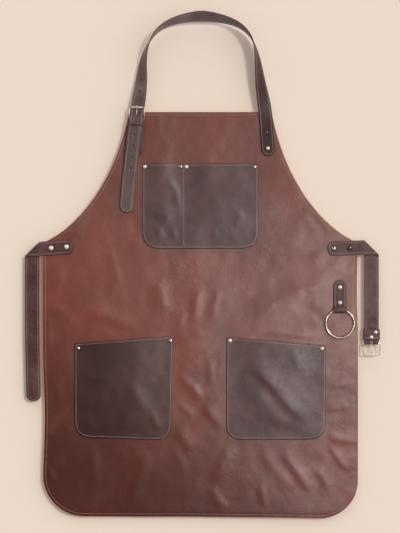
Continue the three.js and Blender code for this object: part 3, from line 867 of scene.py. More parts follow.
def fibrous(name, dark, light, stretch, detail, rough, height):
    """A matt material of fine fibres or strands, in two colours."""

    def paint(n):
        fibres = n.noise(1, *detail, place=n.stretched(*stretch))
        colour = n.mix(n.span(fibres, 0.35, 0.65), dark, light)
        return n.surface(Base_Color=colour, Roughness=rough, Normal=n.bump(fibres, height))

    return new_material(name, paint)


def raw_edge(name, dark, light):
    """The cut edge of leather: fibrous and matt."""
    return fibrous(name, dark, light, (900, 900, 900), (3, 0.7), 0.75, 0.0002)


def thread(name, dark, light):
    """Waxed thread: fine slanted strands."""
    return fibrous(name, dark, light, (2600, 700, 1400, 40), (2, 0.5), 0.55, 0.0001)


def flesh_side(name, dark, light):
    """The matt, suede-like back of the leather."""

    def paint(n):
        clouds = n.noise(9, 4, 0.6, warp=0.5)
        nap = n.noise(1, 3, 0.7, place=n.stretched(500, 500, 900, 70))
        colour = n.mix(n.span(clouds, 0.3, 0.7), dark, light)
        colour = n.mix(n.span(nap, 0.3, 0.7, 0.0, 0.35), colour, light)
        return n.surface(Base_Color=colour, Roughness=0.9, Specular_IOR_Level=0.2,
                         Normal=n.bump(nap, 0.0004))

    return new_material(name, paint)


def metal(name, bright, tarnish, rough, patina, metallic=1.0):
    """Brass with tarnish in patches and fine scratches."""

    def paint(n):
        patches = n.noise(260, 4, 0.65)
        scratches = n.noise(1, 2, 0.6, place=n.stretched(2400, 300, 900, 50))
        colour = n.mix(n.span(patches, 0.45, 0.75, 0.0, patina), bright, tarnish)
        roughness = n.math("ADD", n.span(patches, 0.4, 0.7, rough, rough + 0.18),
                           n.span(scratches, 0.4, 0.7, -0.04, 0.06))
        return n.surface(Base_Color=colour, Roughness=roughness, Metallic=metallic,
                         Normal=n.bump(scratches, 0.00002))

    return new_material(name, paint)


CREASE_STRETCH = 0.16  # a crease's width beside its length
PEBBLE_HEIGHT = 0.00012
PORE_HEIGHT = 0.00007

# The body leather is painted darker towards the bottom left: painted shade where the light falls
# off.
BODY = leather("body_leather", srgb(102, 47, 34), srgb(120, 59, 44), srgb(131, 74, 61),
               cloud=5, gloss=0.36, lump=0.0003, crease=0.00008, sheen=0.86,
               painted_shade=((0.5, 0, 0.87), srgb(58, 20, 12)))
# The pocket leather is painted darker towards the left, so the left hip pocket is darker:
# painted shade, with the light coming from the right.
POCKET = leather("pocket_leather", srgb(70, 37, 32), srgb(86, 50, 45), srgb(100, 67, 62),
                 cloud=12, gloss=0.42, lump=0.0002, crease=0.00004, sheen=0.8,
                 painted_shade=((2.3, 0, 0.4), srgb(54, 26, 21)))
STRAP = leather("strap_leather", srgb(70, 41, 37), srgb(86, 54, 50), srgb(106, 75, 71),
                cloud=22, gloss=0.44, lump=0.00022, crease=0.0001, sheen=0.36)
# The neck strap's own copy of the strap leather is painted darker towards the right: painted
# shade on the strap's right leg.
NECK_STRAP = leather("neck_strap_leather", srgb(72, 44, 40), srgb(89, 58, 54),
                     srgb(110, 80, 77), cloud=22, gloss=0.44, lump=0.00018, crease=0.00008,
                     sheen=0.95, painted_shade=((-3.9, 0, 0), srgb(46, 30, 28)),
                     polished=((-1, 0, 0), -0.1, 0.06))
LINING = leather("strap_lining", srgb(78, 51, 49), srgb(96, 67, 66), srgb(116, 87, 86),
                 cloud=30, gloss=0.5, lump=0.0006, crease=0.0006, sheen=0.3)
# A lighter, cooler copy of the strap lining for the neck strap's back, seen at the crown: the
# lining's own colour with painted reflected light.
NECK_LINING_PAINTED_SHEEN = leather("neck_lining_painted_sheen", srgb(90, 69, 72), srgb(110, 88, 92), srgb(132, 111, 115),
                      cloud=30, gloss=0.5, lump=0.0004, crease=0.0001, sheen=0.62)
FLESH = flesh_side("flesh_side", srgb(124, 82, 62), srgb(146, 102, 80))
BODY_EDGE = raw_edge("body_edge", srgb(84, 34, 22), srgb(118, 58, 42))
STRAP_EDGE = raw_edge("strap_edge", srgb(82, 34, 24), srgb(122, 60, 46))
# The pockets' cut edges are much darker than the others: the edge's own colour with painted
# shade along the pocket rims.
POCKET_EDGE_AND_SHADE = raw_edge("pocket_edge_and_shade", srgb(42, 25, 21), srgb(66, 40, 34))
BODY_THREAD = thread("body_thread", srgb(186, 140, 126), srgb(232, 196, 184))
STRAP_THREAD = thread("strap_thread", srgb(198, 170, 162), srgb(240, 220, 212))
# Painted shade: the stitch holes are flat dark discs in this colour.
STITCH_HOLE_SHADE = raw_edge("stitch_hole_painted_shade", srgb(32, 17, 14), srgb(58, 34, 28))
BRASS = metal("antique_brass", srgb(226, 206, 186), srgb(78, 48, 38), 0.18, 0.85)
RIVET_METAL = metal("rivet_metal", srgb(244, 230, 210), srgb(130, 100, 80), 0.26, 0.4, 0.5)
WORN_RIVET_METAL = metal("worn_rivet_metal", srgb(226, 204, 172), srgb(100, 74, 54), 0.18, 0.7)
# Painted shade: a dark metal for rivets whose domes reflect a dark room.
PAINTED_SHADE_RIVET_METAL = metal("painted_shade_rivet_metal", srgb(120, 96, 80), srgb(48, 32, 26), 0.24, 0.9)


# ------------------------------------------------------------------ the hang of the leather

# the leather lies flat where something is riveted through it
HARDWARE = np.array([cad_middle(name)[[0, 2]] for name in RIVETS])
CALM_RADIUS = 26

# Soft folds of the body leather: path, how far they fall away to the left and to the right
# of it, and height. A negative height is a dip.
RIGHT_WAIST_FOLDS = [
    ([(95, -158), (112, -140), (131, -113), (156, -104), (182, -105), (216, -112)], 22, 34, 1.5),
    ([(125, -142), (130, -121), (142, -109), (157, -104), (182, -105), (206, -109)], 4, 5, 0.5),
    ([(166, -106), (184, -90), (198, -81), (214, -80), (232, -74), (264, -60)], 22, 14, 1.4),
    ([(176, -98), (187, -86), (198, -81), (213, -81), (230, -75), (246, -69)], 4, 5, 0.4),
    ([(196, -38), (214, -26), (250, -22), (294, -34)], 10, 19, 1.7),
    ([(170, -118), (203, -123), (222, -134), (237, -158)], 14, 5, -0.9),
    ([(80, -166), (150, -166), (205, -173), (242, -187)], 9, 9, 1.2),
    ([(256, -141), (290, -125)], 5, 5, -0.6),
    ([(112, -50), (150, -59), (194, -62)], 5, 4, 0.4),
    ([(134, -18), (150, -30), (172, -48)], 4, 4, 0.3),
    ([(98, -38), (122, -54), (142, -72)], 5, 4, 0.25),
]
MIDDLE_FOLDS = [
    ([(-71, -134), (-73, -94), (-85, -62)], 13, 13, 1.6),
    ([(-11, -156), (-9, -115), (-2, -74)], 10, 12, 1.5),
    ([(21, -150), (28, -112), (37, -74)], 8, 9, 0.9),
    ([(0, -75), (8, -77), (18, -82)], 3, 3, -0.35),
    ([(-44, -168), (-36, -140), (-24, -118)], 6, 8, 0.6),
    ([(-2, -308), (-6, -284), (-20, -266), (-48, -248)], 11, 9, 1.7),
    ([(40, -352), (20, -322), (4, -300)], 8, 13, 1.4),
    ([(-8, -332), (-26, -316), (-46, -300)], 6, 7, 0.7),
    ([(-12, -396), (-30, -370), (-52, -348)], 11, 14, 1.3),
    ([(21, -276), (19, -240), (14, -210)], 7, 8, 0.9),
    ([(-22, -444), (-40, -408), (-58, -378)], 9, 9, 0.8),
]
LEFT_WAIST_FOLDS = [
    ([(-236, -127), (-182, -134), (-150, -147), (-114, -160)], 17, 12, 1.6),
    ([(-148, -84), (-163, -42), (-173, 0)], 10, 8, 0.8),
    ([(-265, -80), (-269, -26)], 9, 8, 0.8),
    ([(-298, -115), (-272, -121), (-250, -140), (-242, -168)], 12, 12, 1.1),
    ([(-290, -214), (-290, -132)], 6, 7, 0.8),
    ([(-254, -202), (-254, -156)], 6, 6, 0.6),
    ([(-277, -310), (-272, -264)], 8, 9, 1.0),
    ([(-266, -4), (-222, -12), (-194, -46)], 22, 20, 1.2),
]
BIB_FOLDS = [
    ([(-80, 220), (-78, 250)], 6, 7, 0.5),
    ([(118, 128), (121, 164)], 6, 7, 0.4),
    ([(266, 26), (222, 72), (190, 112), (174, 150), (164, 190)], 40, 10, 2.0),
    ([(240, 17), (218, 46), (202, 68)], 8, 8, -0.8),
    ([(-132, 55), (-118, 20)], 9, 9, -0.6),
]
HEM_FOLDS = [
    ([(218, -480), (194, -448), (172, -416), (148, -388)], 7, 13, 1.5),
    ([(174, -468), (146, -432), (122, -402), (104, -380)], 10, 13, 1.1),
    ([(296, -424), (277, -424), (264, -410), (242, -378)], 5, 10, 1.0),
    ([(248, -470), (218, -420)], 6, 10, 0.8),
    ([(26, -458), (46, -412), (62, -378)], 11, 13, 1.9),
    ([(125, -506), (113, -450)], 7, 8, 1.2),
    ([(50, -508), (30, -480), (16, -456)], 9, 10, 1.1),
    ([(46, -492), (60, -488), (74, -483)], 3, 3, -0.4),
    ([(296, -373), (266, -371), (238, -361)], 6, 11, 1.0),
    ([(292, -261), (262, -267), (240, -263)], 6, 10, 0.9),
    ([(288, -306), (262, -310), (238, -317)], 6, 10, 0.9),
    ([(-207, -470), (-203, -420), (-205, -376)], 10, 9, 1.3),
    ([(-138, -496), (-112, -436), (-99, -382)], 12, 12, 1.6),
    ([(-280, -454), (-292, -420)], 5, 6, 0.7),
]
BODY_FOLDS = RIGHT_WAIST_FOLDS + MIDDLE_FOLDS + LEFT_WAIST_FOLDS + BIB_FOLDS + HEM_FOLDS

# Patches of fine creases: middle, reach, direction in degrees, spacing and height.
BODY_CRINKLES = [
    ((142, -46), 58, -33, 8, 0.2),
    ((205, -100), 50, -25, 9, 0.16),
    ((150, -440), 105, -50, 11, 0.16),
    ((10, -250), 60, 80, 9, 0.18),
    ((-80, -110), 62, 66, 9, 0.16),
    ((266, -300), 80, 4, 10, 0.16),
]


def crinkle(x, z, middle, reach, direction, spacing, height, seed):
    """A patch of fine creases that run one way."""
    angle = math.radians(direction)
    dx, dz = x - middle[0], z - middle[1]
    along = dx * math.cos(angle) + dz * math.sin(angle)
    across = dz * math.cos(angle) - dx * math.sin(angle)
    across = across + 0.5 * spacing * soft_noise(along, across, 4 * spacing, seed)
    patch = np.exp(-((dx**2 + dz**2) / reach**2) ** 2)
    ripple = soft_noise(along / 5, across, spacing, seed + 1)
    return height * patch * (0.5 - np.abs(ripple))


def hem_puckers(x, z):
    """Small waves that the stitching draws into the hem and the side edges."""
    to_side = PANEL_HALF - np.abs(x)
    to_hem = z - hem_z(x)
    along_hem = 0.35 * np.exp(-((to_hem - 7) / 9) ** 2) * soft_noise(x, z / 5, 7, 21)
    along_side = 0.3 * np.exp(-((to_side - 7) / 8) ** 2) * soft_noise(x / 5, z, 8, 22)
    turned_back = 0.9 * np.exp(-((to_hem / 8) ** 2))
    return along_hem + along_side * (z < SHOULDER_Z) - turned_back


def hem_z(x):
    """The height of the hem, which hangs a little lower on the right."""
    return PANEL_LOW[2] - HEM_TILT * np.asarray(x)


def drape(x, z):
    """How far the body leather stands forward of a flat plane."""
    x = np.asarray(x, float)
    z = np.asarray(z, float)
    rise = 0.9 + 0.7 * soft_noise(x, z, 120, 3) + 0.6 * soft_noise(x, z, 48, 4)
    rise = rise + 0.27 * soft_noise(x, z, 19, 5)
    for path, left, right, height in BODY_FOLDS:
        rise = rise + fold(x, z, path, left, right, height)
    for seed, patch in enumerate(BODY_CRINKLES):
        rise = rise + crinkle(x, z, *patch, 40 + 2 * seed)
    rise = rise + hem_puckers(x, z)
    calm = np.ones_like(rise)
    for hx, hz in HARDWARE:
        near = np.exp(-((x - hx) ** 2 + (z - hz) ** 2) / CALM_RADIUS**2)
        calm = calm * (1 - near)
    return rise * calm


# ------------------------------------------------------------------ body panel


def panel_sides():
    """The panel's bottom, right, top and left edges, anticlockwise."""
    side, top = PANEL_HALF, PANEL_HIGH[2]
    right, left = HEM_RADIUS_RIGHT, HEM_RADIUS_LEFT
    low_right = arc(side - right, hem_z(side) + right, right, -90, 0, 31)
    low_left = arc(-side + left, hem_z(-side) + left, left, 180, 270, 31)
    half = len(low_right) // 2
    bottom = np.vstack([low_left[half:], low_right[: half + 1]])
    armhole = bezier((side, SHOULDER_Z), (side - 88, SHOULDER_Z + 42),
                     (BIB_HALF + 19, top - 105), (BIB_HALF, top), 80)
    shoulder = round_corner((side, SHOULDER_Z - 40), armhole[0], armhole[8], SHOULDER_ROUND)
    upper_right = np.vstack([shoulder, armhole[9:]])
    right_side = np.vstack([low_right[half:], upper_right])
    left_side = np.vstack([upper_right[::-1] * [-1, 1], low_left[: half + 1]])
    top_side = np.array([[BIB_HALF, top], [-BIB_HALF, top]])
    return [bottom, right_side, top_side, left_side]


def round_corner(before, corner, after, radius):
    """Points of a small round corner between two straight runs."""
    before, corner, after = (np.array(p, float) for p in (before, corner, after))
    enter = corner + unit(before - corner) * radius
    leave = corner + unit(after - corner) * radius
    t = np.linspace(0, 1, 9)[:, None]
    return (1 - t) ** 2 * enter + 2 * (1 - t) * t * corner + t * t * leave


def on_panel(xz, height):
    """A point at a height above the panel's back face; the edges aren't quite straight."""
    x, z = xz[:, 0], xz[:, 1]
    leftness = smooth(-x / PANEL_HALF)
    rightness = smooth(x / PANEL_HALF)
    sway = LEFT_SWAY * leftness * bump_at(z, -325, 90)
    sway = sway - RIGHT_SWAY * rightness * bump_at(z, -85, 60)
    lowness = smooth((PANEL_LOW[2] + 60 - z) / 60)
    lift = 1.2 * lowness * soft_noise(x, 0 * x, 90, 31)
    return np.column_stack([x + sway, PANEL_HIGH[1] - drape(x, z) - height, z + lift])


def build_panel():
    """The body leather and the stitches all round its edge."""
    sides = panel_sides()
    panel = sheet("body_panel_leather", sides, *PANEL_GRID, PANEL_THICK, HEM_INSET, on_panel,
                  [BODY, BODY_EDGE, FLESH])
    hand_over(panel, "apron", "body_leather", "body_panel")
    seam = inset_outline(sides, *PANEL_GRID, HEM_INSET)
    parts = MeshParts()
    middle = PANEL_THICK / 2

    def bend(x, z, h):
        return on_panel(np.column_stack([x, z]), middle + h)

    add_stitches(parts, closed(seam), bend, middle - STITCH_SINK)
    hem = parts.build("body_panel_stitching", BODY_THREAD, STITCH_HOLE_SHADE)
    hand_over(hem, "apron", "body_leather")


# ------------------------------------------------------------------ pockets


def pocket_sides(corners, radius):
    """Pocket edges from its corners: bottom left, bottom right, top right, top left."""
    low_left, low_right, high_right, high_left = (np.array(c, float) for c in corners)
    turn_right = round_corner(low_left, low_right, high_right, radius)
    turn_left = round_corner(high_left, low_left, low_right, radius)
    half = len(turn_left) // 2
    bottom = np.vstack([turn_left[half:], turn_right[: half + 1]])
    right = np.vstack([turn_right[half:], high_right])
    top = np.array([high_right, high_left])
    left = np.vstack([high_left, turn_left[: half + 1]])
    return [bottom, right, top, left]


def pocket_folds(x, z, folds):
    """The unevenness of a pocket's leather, with its folds."""
    rise = 0.25 * soft_noise(x, z, 30, 11) + 0.12 * soft_noise(x, z, 12, 12)
    for path, left, right, height in folds:
        rise = rise + fold(x, z, path, left, right, height)
    return rise


def pocket_belly(x, z, low, high, mouth, body):
    """How far a pocket's skin stands off the panel: sewn flat on three sides.

    mouth and body are how far it stands off at its open top and lower down.
    """
    across = (x - low[0]) / (high[0] - low[0])
    up = (z - low[1]) / (high[1] - low[1])
    reach = min(64, (high[0] - low[0]) / 2 - 6)
    off_sides = smooth((x - low[0] - 6) / reach) * smooth((high[0] - x - 6) / reach)
    off_bottom = smooth((z - low[1] - POCKET_RIM) / 60)
    arch = 4 * across * (1 - across)
    return off_sides * off_bottom * (body * (1 - up) + mouth * np.clip(arch, 0, 1) * up)


def sewn_calm(x, z, left, right, bottom):
    """0 along the three sewn sides of a pocket and 1 in its middle."""
    calm = 1
    for distance in (x - left, right - x, z - bottom):
        calm = calm * smooth((distance - POCKET_RIM) / 26)
    return calm


def build_pocket(name, node, sides, belly, grid):
    """A pocket skin on the panel, its stitching, and its place in the frame."""

    def place(xz, height):
        x, z = xz[:, 0], xz[:, 1]
        y = PANEL_FRONT - drape(x, z) - belly(x, z) - POCKET_GAP - height
        return np.column_stack([x, y, z])

    skin = sheet(name, sides, *grid, POCKET_THICK, POCKET_INSET, place,
                 [POCKET, POCKET_EDGE_AND_SHADE, FLESH])
    hand_over(skin, "apron", "pocket_leather", node)

    def bend(x, z, h):
        return place(np.column_stack([x, z]), POCKET_THICK / 2 + h)

    parts = MeshParts()
    seam = inset_outline(sides, *grid, POCKET_INSET)
    add_stitches(parts, closed(seam), bend, POCKET_THICK / 2 - THIN_STITCH_SINK, faces=(1,))
    return parts, bend


def build_bib_pocket():
    """The bib pocket; a seam down its front makes the pen slot."""
    low, high = cad_corners("bib_pocket")
    left, right, bottom, top = low[0], high[0], low[2], high[2]
    corners = [(left, bottom), (right, bottom), (right, top), (left, top)]
    sides = pocket_sides(corners, BIB_POCKET_ROUND)

    def belly(x, z):
        pen = pocket_belly(x, z, (left, bottom), (BIB_SEAM_X, top), mouth=1.6, body=1.6)
        main = pocket_belly(x, z, (BIB_SEAM_X, bottom), (right, top), mouth=1.8, body=1.8)
        calm = smooth(np.abs(x - BIB_SEAM_X) / 14) * sewn_calm(x, z, left, right, bottom)
        return np.where(x < BIB_SEAM_X, pen, main) + calm * pocket_folds(x, z, BIB_POCKET_FOLDS)

    parts, bend = build_pocket("bib_pocket_leather", "bib_pocket", sides, belly, (88, 64))
    seam = [(BIB_SEAM_X, bottom + HEM_INSET), (BIB_SEAM_X, top - HEM_INSET)]
    add_stitches(parts, seam, bend, POCKET_THICK / 2 + THIN_STITCH_SINK, faces=(1,))
    finish_stitching(parts, "bib_pocket_stitching", "apron", "pocket_leather")


def build_hip_pocket(node, corners, folds):
    """A hip pocket from its corners: bottom left, bottom right, top right, top left."""
    low_left, low_right, high_right, high_left = corners
    sides = pocket_sides(corners, HIP_POCKET_ROUND)
    left, right = low_left[0], low_right[0]
    bottom = min(low_left[1], low_right[1])

    def belly(x, z):
        share = (x - high_left[0]) / (high_right[0] - high_left[0])
        top = high_left[1] + (high_right[1] - high_left[1]) * share
        rise = pocket_belly(x, z, (left, bottom), (right, top), mouth=3.2, body=1.9)
        return rise + sewn_calm(x, z, left, right, bottom) * pocket_folds(x, z, folds)

    parts, _ = build_pocket(node + "_leather", node, sides, belly, (74, 74))
    finish_stitching(parts, node + "_stitching", "apron", "pocket_leather")


BIB_POCKET_FOLDS = [
    ([(-32, 56), (-40, 82), (-48, 104), (-68, 134)], 9, 8, 1.0),
    ([(-102, 58), (-84, 47), (-62, 53)], 8, 8, -0.9),
    ([(-75, -2), (-77, 20), (-83, 42)], 10, 8, 1.1),
    ([(-49, -4), (-49, 18), (-57, 38)], 6, 7, 0.7),
    ([(-20, 2), (-8, 20), (4, 32)], 6, 8, 0.5),
    ([(-28, 98), (0, 118), (44, 144)], 4, 5, 0.4),
    ([(26, -2), (30, 32)], 6, 7, 0.5),
    ([(64, 32), (82, 66)], 7, 8, 0.6),
    ([(84, 34), (96, 12)], 8, 8, 0.5),
]
LEFT_POCKET_FOLDS = [
    ([(-100, -322), (-118, -292), (-140, -258)], 14, 14, 1.3),
    ([(-150, -368), (-140, -330), (-124, -304)], 12, 15, 1.2),
    ([(-194, -368), (-210, -345), (-230, -314)], 12, 10, 1.2),
    ([(-164, -252), (-200, -253), (-238, -250)], 8, 10, 0.8),
    ([(-76, -356), (-86, -335), (-93, -312)], 8, 9, 0.9),
    ([(-202, -222), (-191, -186)], 6, 6, 0.5),
]
RIGHT_POCKET_FOLDS = [
    ([(210, -342), (178, -315), (152, -285), (126, -255), (104, -238), (70, -224)], 10, 15, 1.8),
    ([(192, -360), (150, -330), (118, -296), (84, -258)], 22, 12, 0.9),
    ([(190, -250), (182, -218), (177, -188)], 7, 10, 0.9),
    ([(94, -229), (128, -230), (150, -218), (162, -202)], 8, 6, 0.5),
    ([(204, -256), (196, -226)], 6, 9, 0.4),
]


def build_pockets():
    build_bib_pocket()
    build_hip_pocket("left_pocket", LEFT_POCKET_CORNERS, LEFT_POCKET_FOLDS)
    build_hip_pocket("right_pocket", RIGHT_POCKET_CORNERS, RIGHT_POCKET_FOLDS)


# ------------------------------------------------------------------ neck strap

HEEL_X, _, _ = cad_middle("neck_buckle_frame")
NECK_HEEL = np.array([HEEL_X, -6.6, 239.5])
# where the neck strap would start and stop following the panel, in metres; they go along with
# its bodies but are not used
NECK_BEND_START = (0, 0, 0.264)
NECK_BEND_END = (0, 0, 0.284)
# the middle of the strap from its hanging tip, over the neck, to its riveted right end
NECK_PATH = [
    (-141.2, -4.6, 61.5), (-137, -6.2, 115), (-131, -8.8, 165), (-127, -9.9, 200),
    (-123.5, -11.3, 227), (-121.6, -11.4, 241), (-119.7, -4.4, 256.5), (-118, -3.6, 269),
    (-114.5, -4.6, 293), (-111.6, -6.2, 318), (-109, -9, 345), (-103.6, -12, 370),
    (-93.6, -13.5, 391), (-79.5, -13.6, 409), (-59, -12.5, 422), (-30, -10.5, 431),
    (4, -9.6, 434.8), (38, -10.5, 430.5), (66, -12.5, 421.5), (85.5, -13.6, 408.5),
    (99, -13.5, 390), (106, -12, 368), (110, -9, 344), (113.2, -6.2, 318),
    (117, -4.6, 293), (121.3, -3.7, 268), (124.3, -3.6, 245), (126.6, -3.6, 214),
    (128.9, -3.6, 184), (130.2, -3.6, 169.5),
]
# the strap faces forward below these heights, and is edge on at the shoulders
NECK_LEFT_FLAT_Z = 262
NECK_RIGHT_FLAT_Z = 236
NECK_SHOULDER_Z = 390
NECK_CROWN_ROLL = 138
PRONG_HOLE_Z = 250.4
NECK_FIRST_HOLE = 60  # no hole is nearer to the hanging tip


class SweptPath:
    """A curve that a strap follows, with the strap's roll about it."""

    def __init__(self, points):
        self.points = spline(points, 24)
        self.along = distances_along(self.points)
        self.length = self.along[-1]
        self.tangents = unit(np.gradient(self.points, axis=0))
        self.rolls = np.zeros(len(self.points))

    def at(self, values, s):
        return np.column_stack([np.interp(s, self.along, column) for column in values.T])

    def bend(self, s, w, h):
        """World positions; past the curve's ends the strap runs straight on."""
        beyond = np.clip(s - self.length, 0, None) + np.clip(s, None, 0)
        tangent = unit(self.at(self.tangents, s))
        outward = unit(np.column_stack([-tangent[:, 2], np.zeros(len(s)), tangent[:, 0]]))
        front = np.cross(tangent, outward)
        roll = np.interp(s, self.along, self.rolls)[:, None]
        across = np.cos(roll) * outward - np.sin(roll) * front
        face = np.cos(roll) * front + np.sin(roll) * outward
        place = self.at(self.points, s) + tangent * beyond[:, None]
        return place + across * w[:, None] + face * h[:, None]


def neck_path():
    """The neck strap's path: flat at both ends and rolled over at the crown."""
    path = SweptPath(NECK_PATH)
    z = path.points[:, 2]

    def left_at(height):
        return path.along[np.argmax(z > height)]

    def right_at(height):
        return path.along[len(z) - 1 - np.argmax(z[::-1] > height)]

    stations = [0, left_at(NECK_LEFT_FLAT_Z), left_at(NECK_SHOULDER_Z), path.along[np.argmax(z)],
                right_at(NECK_SHOULDER_Z), right_at(NECK_RIGHT_FLAT_Z), path.length]
    rolls = np.radians([0, 0, 90, NECK_CROWN_ROLL, 90, 0, 0])
    path.rolls = np.interp(path.along, stations, rolls)
    return path


def build_neck_strap():
    """One strip from its hanging tip, through the buckle, round the neck to the right end."""
    path = neck_path()
    rising = slice(0, 200)  # the part of the path that climbs past the buckle
    prong_hole = np.interp(PRONG_HOLE_Z, path.points[rising, 2], path.along[rising])
    holes = [prong_hole + n * HOLE_PITCH for n in range(-5, 5)]
    holes = [float(hole) for hole in holes if hole > NECK_FIRST_HOLE]
    strip = Strap(path.length, NECK_WIDTH, STRAP_THICK, step=4, holes=holes,
                  start="round", end="round", back_slot=2,
                  fine=[(prong_hole - 30, prong_hole + 52, 1.6)])
    strap = strip.build("neck_strap_leather", path.bend, [NECK_STRAP, STRAP_EDGE, NECK_LINING_PAINTED_SHEEN])
    blend = ("apron", "neck_loop", NECK_BEND_START, NECK_BEND_END)
    nodes = ("neck_strap_loop", "neck_strap_anchor", "neck_strap_tail")
    hand_over(strap, blend, "strap_leather", *nodes)
    parts = MeshParts()
    for line in strip.stitch_lines():
        add_stitches(parts, line, path.bend, STRAP_THICK / 2 - STITCH_SINK)
    finish_stitching(parts, "neck_strap_stitching", blend)


def turned_path(back, bore, bar, up, rear_end, front_end, settle, straight=0.0):
    """The middle of leather turned round a bar, in y and z, from its rear end.

    up is 1 where the leather's ends are below the bar and -1 where they are above it. The
    front layer starts to close on the rear one `straight` past the bar and lies on it from
    `settle` on.
    """
    bar_y, bar_z = bar
    radius = bore + TURNED_THICK / 2
    rest_y = back - 1.5 * TURNED_THICK - TURNED_GAP
    turn = arc(0, 0, radius, 0, 180, 19) * [1, up] + [bar_y, bar_z]
    t = np.linspace(0, 1, 9)[1:]
    ease = smooth(t)
    front_y = (bar_y - radius) * (1 - ease) + rest_y * ease
    front = np.column_stack([front_y, bar_z - up * (straight + (settle - straight) * t)])
    return np.vstack([[(bar_y + radius, rear_end)], turn, front, [(rest_y, front_end)]])


class TurnedBend:
    """Bends a strap along a path in y and z."""

    def __init__(self, x, path, up):
        self.x = x
        self.up = up
        self.length = distances_along(path)[-1]
        self.path = resample(path, int(self.length / TURNED_STEP))
        self.along = np.linspace(0, self.length, len(self.path))
        self.tangent = unit(np.gradient(self.path, axis=0))

    def bend(self, s, w, h):
        y, z, ty, tz = (
            np.interp(s, self.along, values)
            for values in (*self.path.T, *self.tangent.T)
        )
        return np.column_stack([self.x + w, y + tz * self.up * h, z - ty * self.up * h])


def build_turned(name, nodes, bend, strip, body, stitch_from, stitch_to):
    """A strip bent along its path, with stitches on its front from one place to another."""
    piece = strip.build(name, bend.bend, [STRAP, STRAP_EDGE])
    hand_over(piece, body, "strap_leather", *nodes)
    parts = MeshParts()
    for line in strip.stitch_lines(stitch_from, stitch_to):
        add_stitches(parts, line, bend.bend, TURNED_THICK / 2 - THIN_STITCH_SINK, faces=(1,))
    finish_stitching(parts, name.replace("leather", "stitching"), body)


def build_neck_chape():
    """The short strap that holds the neck buckle, turned round its heel bar."""
    low, high = cad_corners("neck_chape")
    path = turned_path(high[1], BUCKLE_BORE, NECK_HEEL[1:], 1, low[2], low[2], settle=14)
    bend = TurnedBend(NECK_HEEL[0], path, 1)
    fold = NECK_HEEL[2] - low[2]
    strip = Strap(bend.length, high[0] - low[0], TURNED_THICK, step=2,
                  slot=(fold - 4, fold + 13, PRONG_SLOT_HALF), start="clip", end="clip",
                  corner=8, fine=[(fold - 6, fold + 26, 0.8)], inset=3)
    build_turned("neck_chape_leather", ["neck_chape"], bend, strip, "apron", fold + 14,
                 bend.length - 9)


def leather_band(name, node, body, corner, inset_rows):
    """A keeper: a closed leather loop with rounded corners and rows of stitches."""
    low, high = cad_corners(node)
    middle = cad_middle(node)
    half_x = (high[0] - low[0] - BAND_WALL) / 2
    half_y = (high[1] - low[1] - BAND_WALL) / 2
    loop = closed(rounded_loop(half_x, half_y, corner))
    flat = resample(loop, int(distances_along(loop)[-1] / BAND_STEP))[:-1]
    tangent = unit(np.roll(flat, -1, axis=0) - np.roll(flat, 1, axis=0))
    outward = -turned_left(tangent)
    height = high[2] - low[2]
    rows = np.array([0, 0.3, 0.8, height / 2, height - 0.8, height - 0.3, height])
    reaches = BAND_WALL / 2 - edge_drop(np.minimum(rows, height - rows), 0.4, 0.8)
    outer = list(zip(rows, reaches))
    inner = [(row, -reach) for row, reach in reversed(outer)]
    rings = [
        np.column_stack([middle[:2] + flat + outward * reach, np.full(len(flat), low[2] + row)])
        for row, reach in outer + inner
    ]
    faces = turned_over(ring_faces(len(rings), len(flat), joined=True))
    at_edge = [1, 0, 0, 0, 0, 1, 1]
    slots = np.repeat(at_edge + at_edge, len(flat))
    piece = add_mesh(name, np.vstack(rings), faces, [STRAP, STRAP_EDGE], slots)
    hand_over(piece, body, "strap_leather", node)

    def bend(x, z, h):
        return np.column_stack([x, low[1] - h, z])

    parts = MeshParts()
    for row in inset_rows:
        z = low[2] + row
        line = [(middle[0] - half_x + corner, z), (middle[0] + half_x - corner, z)]
        add_stitches(parts, line, bend, 0.02, faces=(1,), size=1.25)
    finish_stitching(parts, name.replace("leather", "stitching"), body)


def rounded_loop(half_x, half_y, radius):
    """A closed rounded rectangle, anticlockwise."""
    corners = [(half_x, -half_y, -90), (half_x, half_y, 0), (-half_x, half_y, 90),
               (-half_x, -half_y, 180)]
    turns = []
    for x, y, start in corners:
        centre_x = x - math.copysign(radius, x)
        centre_y = y - math.copysign(radius, y)
        turns.append(arc(centre_x, centre_y, radius, start, start + 90, 7))
    return np.vstack(turns)


# ------------------------------------------------------------------ buckles

BUCKLE_CORNER = 3.2
ROLLER_PLAY = 0.2
BAR_FLATTENED = np.array([1.05, 0.92])
PRONG_EYE_RADIUS = 2.25
# The prong's stem in y and z from the heel bar, for a buckle that stands up.
PRONG_STEM = [(-2.2, 0.8), (-2.15, 5), (-2.05, 10), (-2.0, 15), (-2.2, 19), (-2.5, 22.6),
              (-2.5, 25), (-2.0, 26.6)]


def build_buckle(prefix, heel, up, bodies, narrow=0.0):
    """A buckle of round bar about its heel bar, and its prong.

    up is 1 for a buckle above its heel bar with the prong in front of the frame, and -1 for
    one below it with the prong behind.
    """
    build_buckle_frame(prefix, heel, up, bodies[0], narrow)
    build_prong(prefix, heel, up, bodies[1])


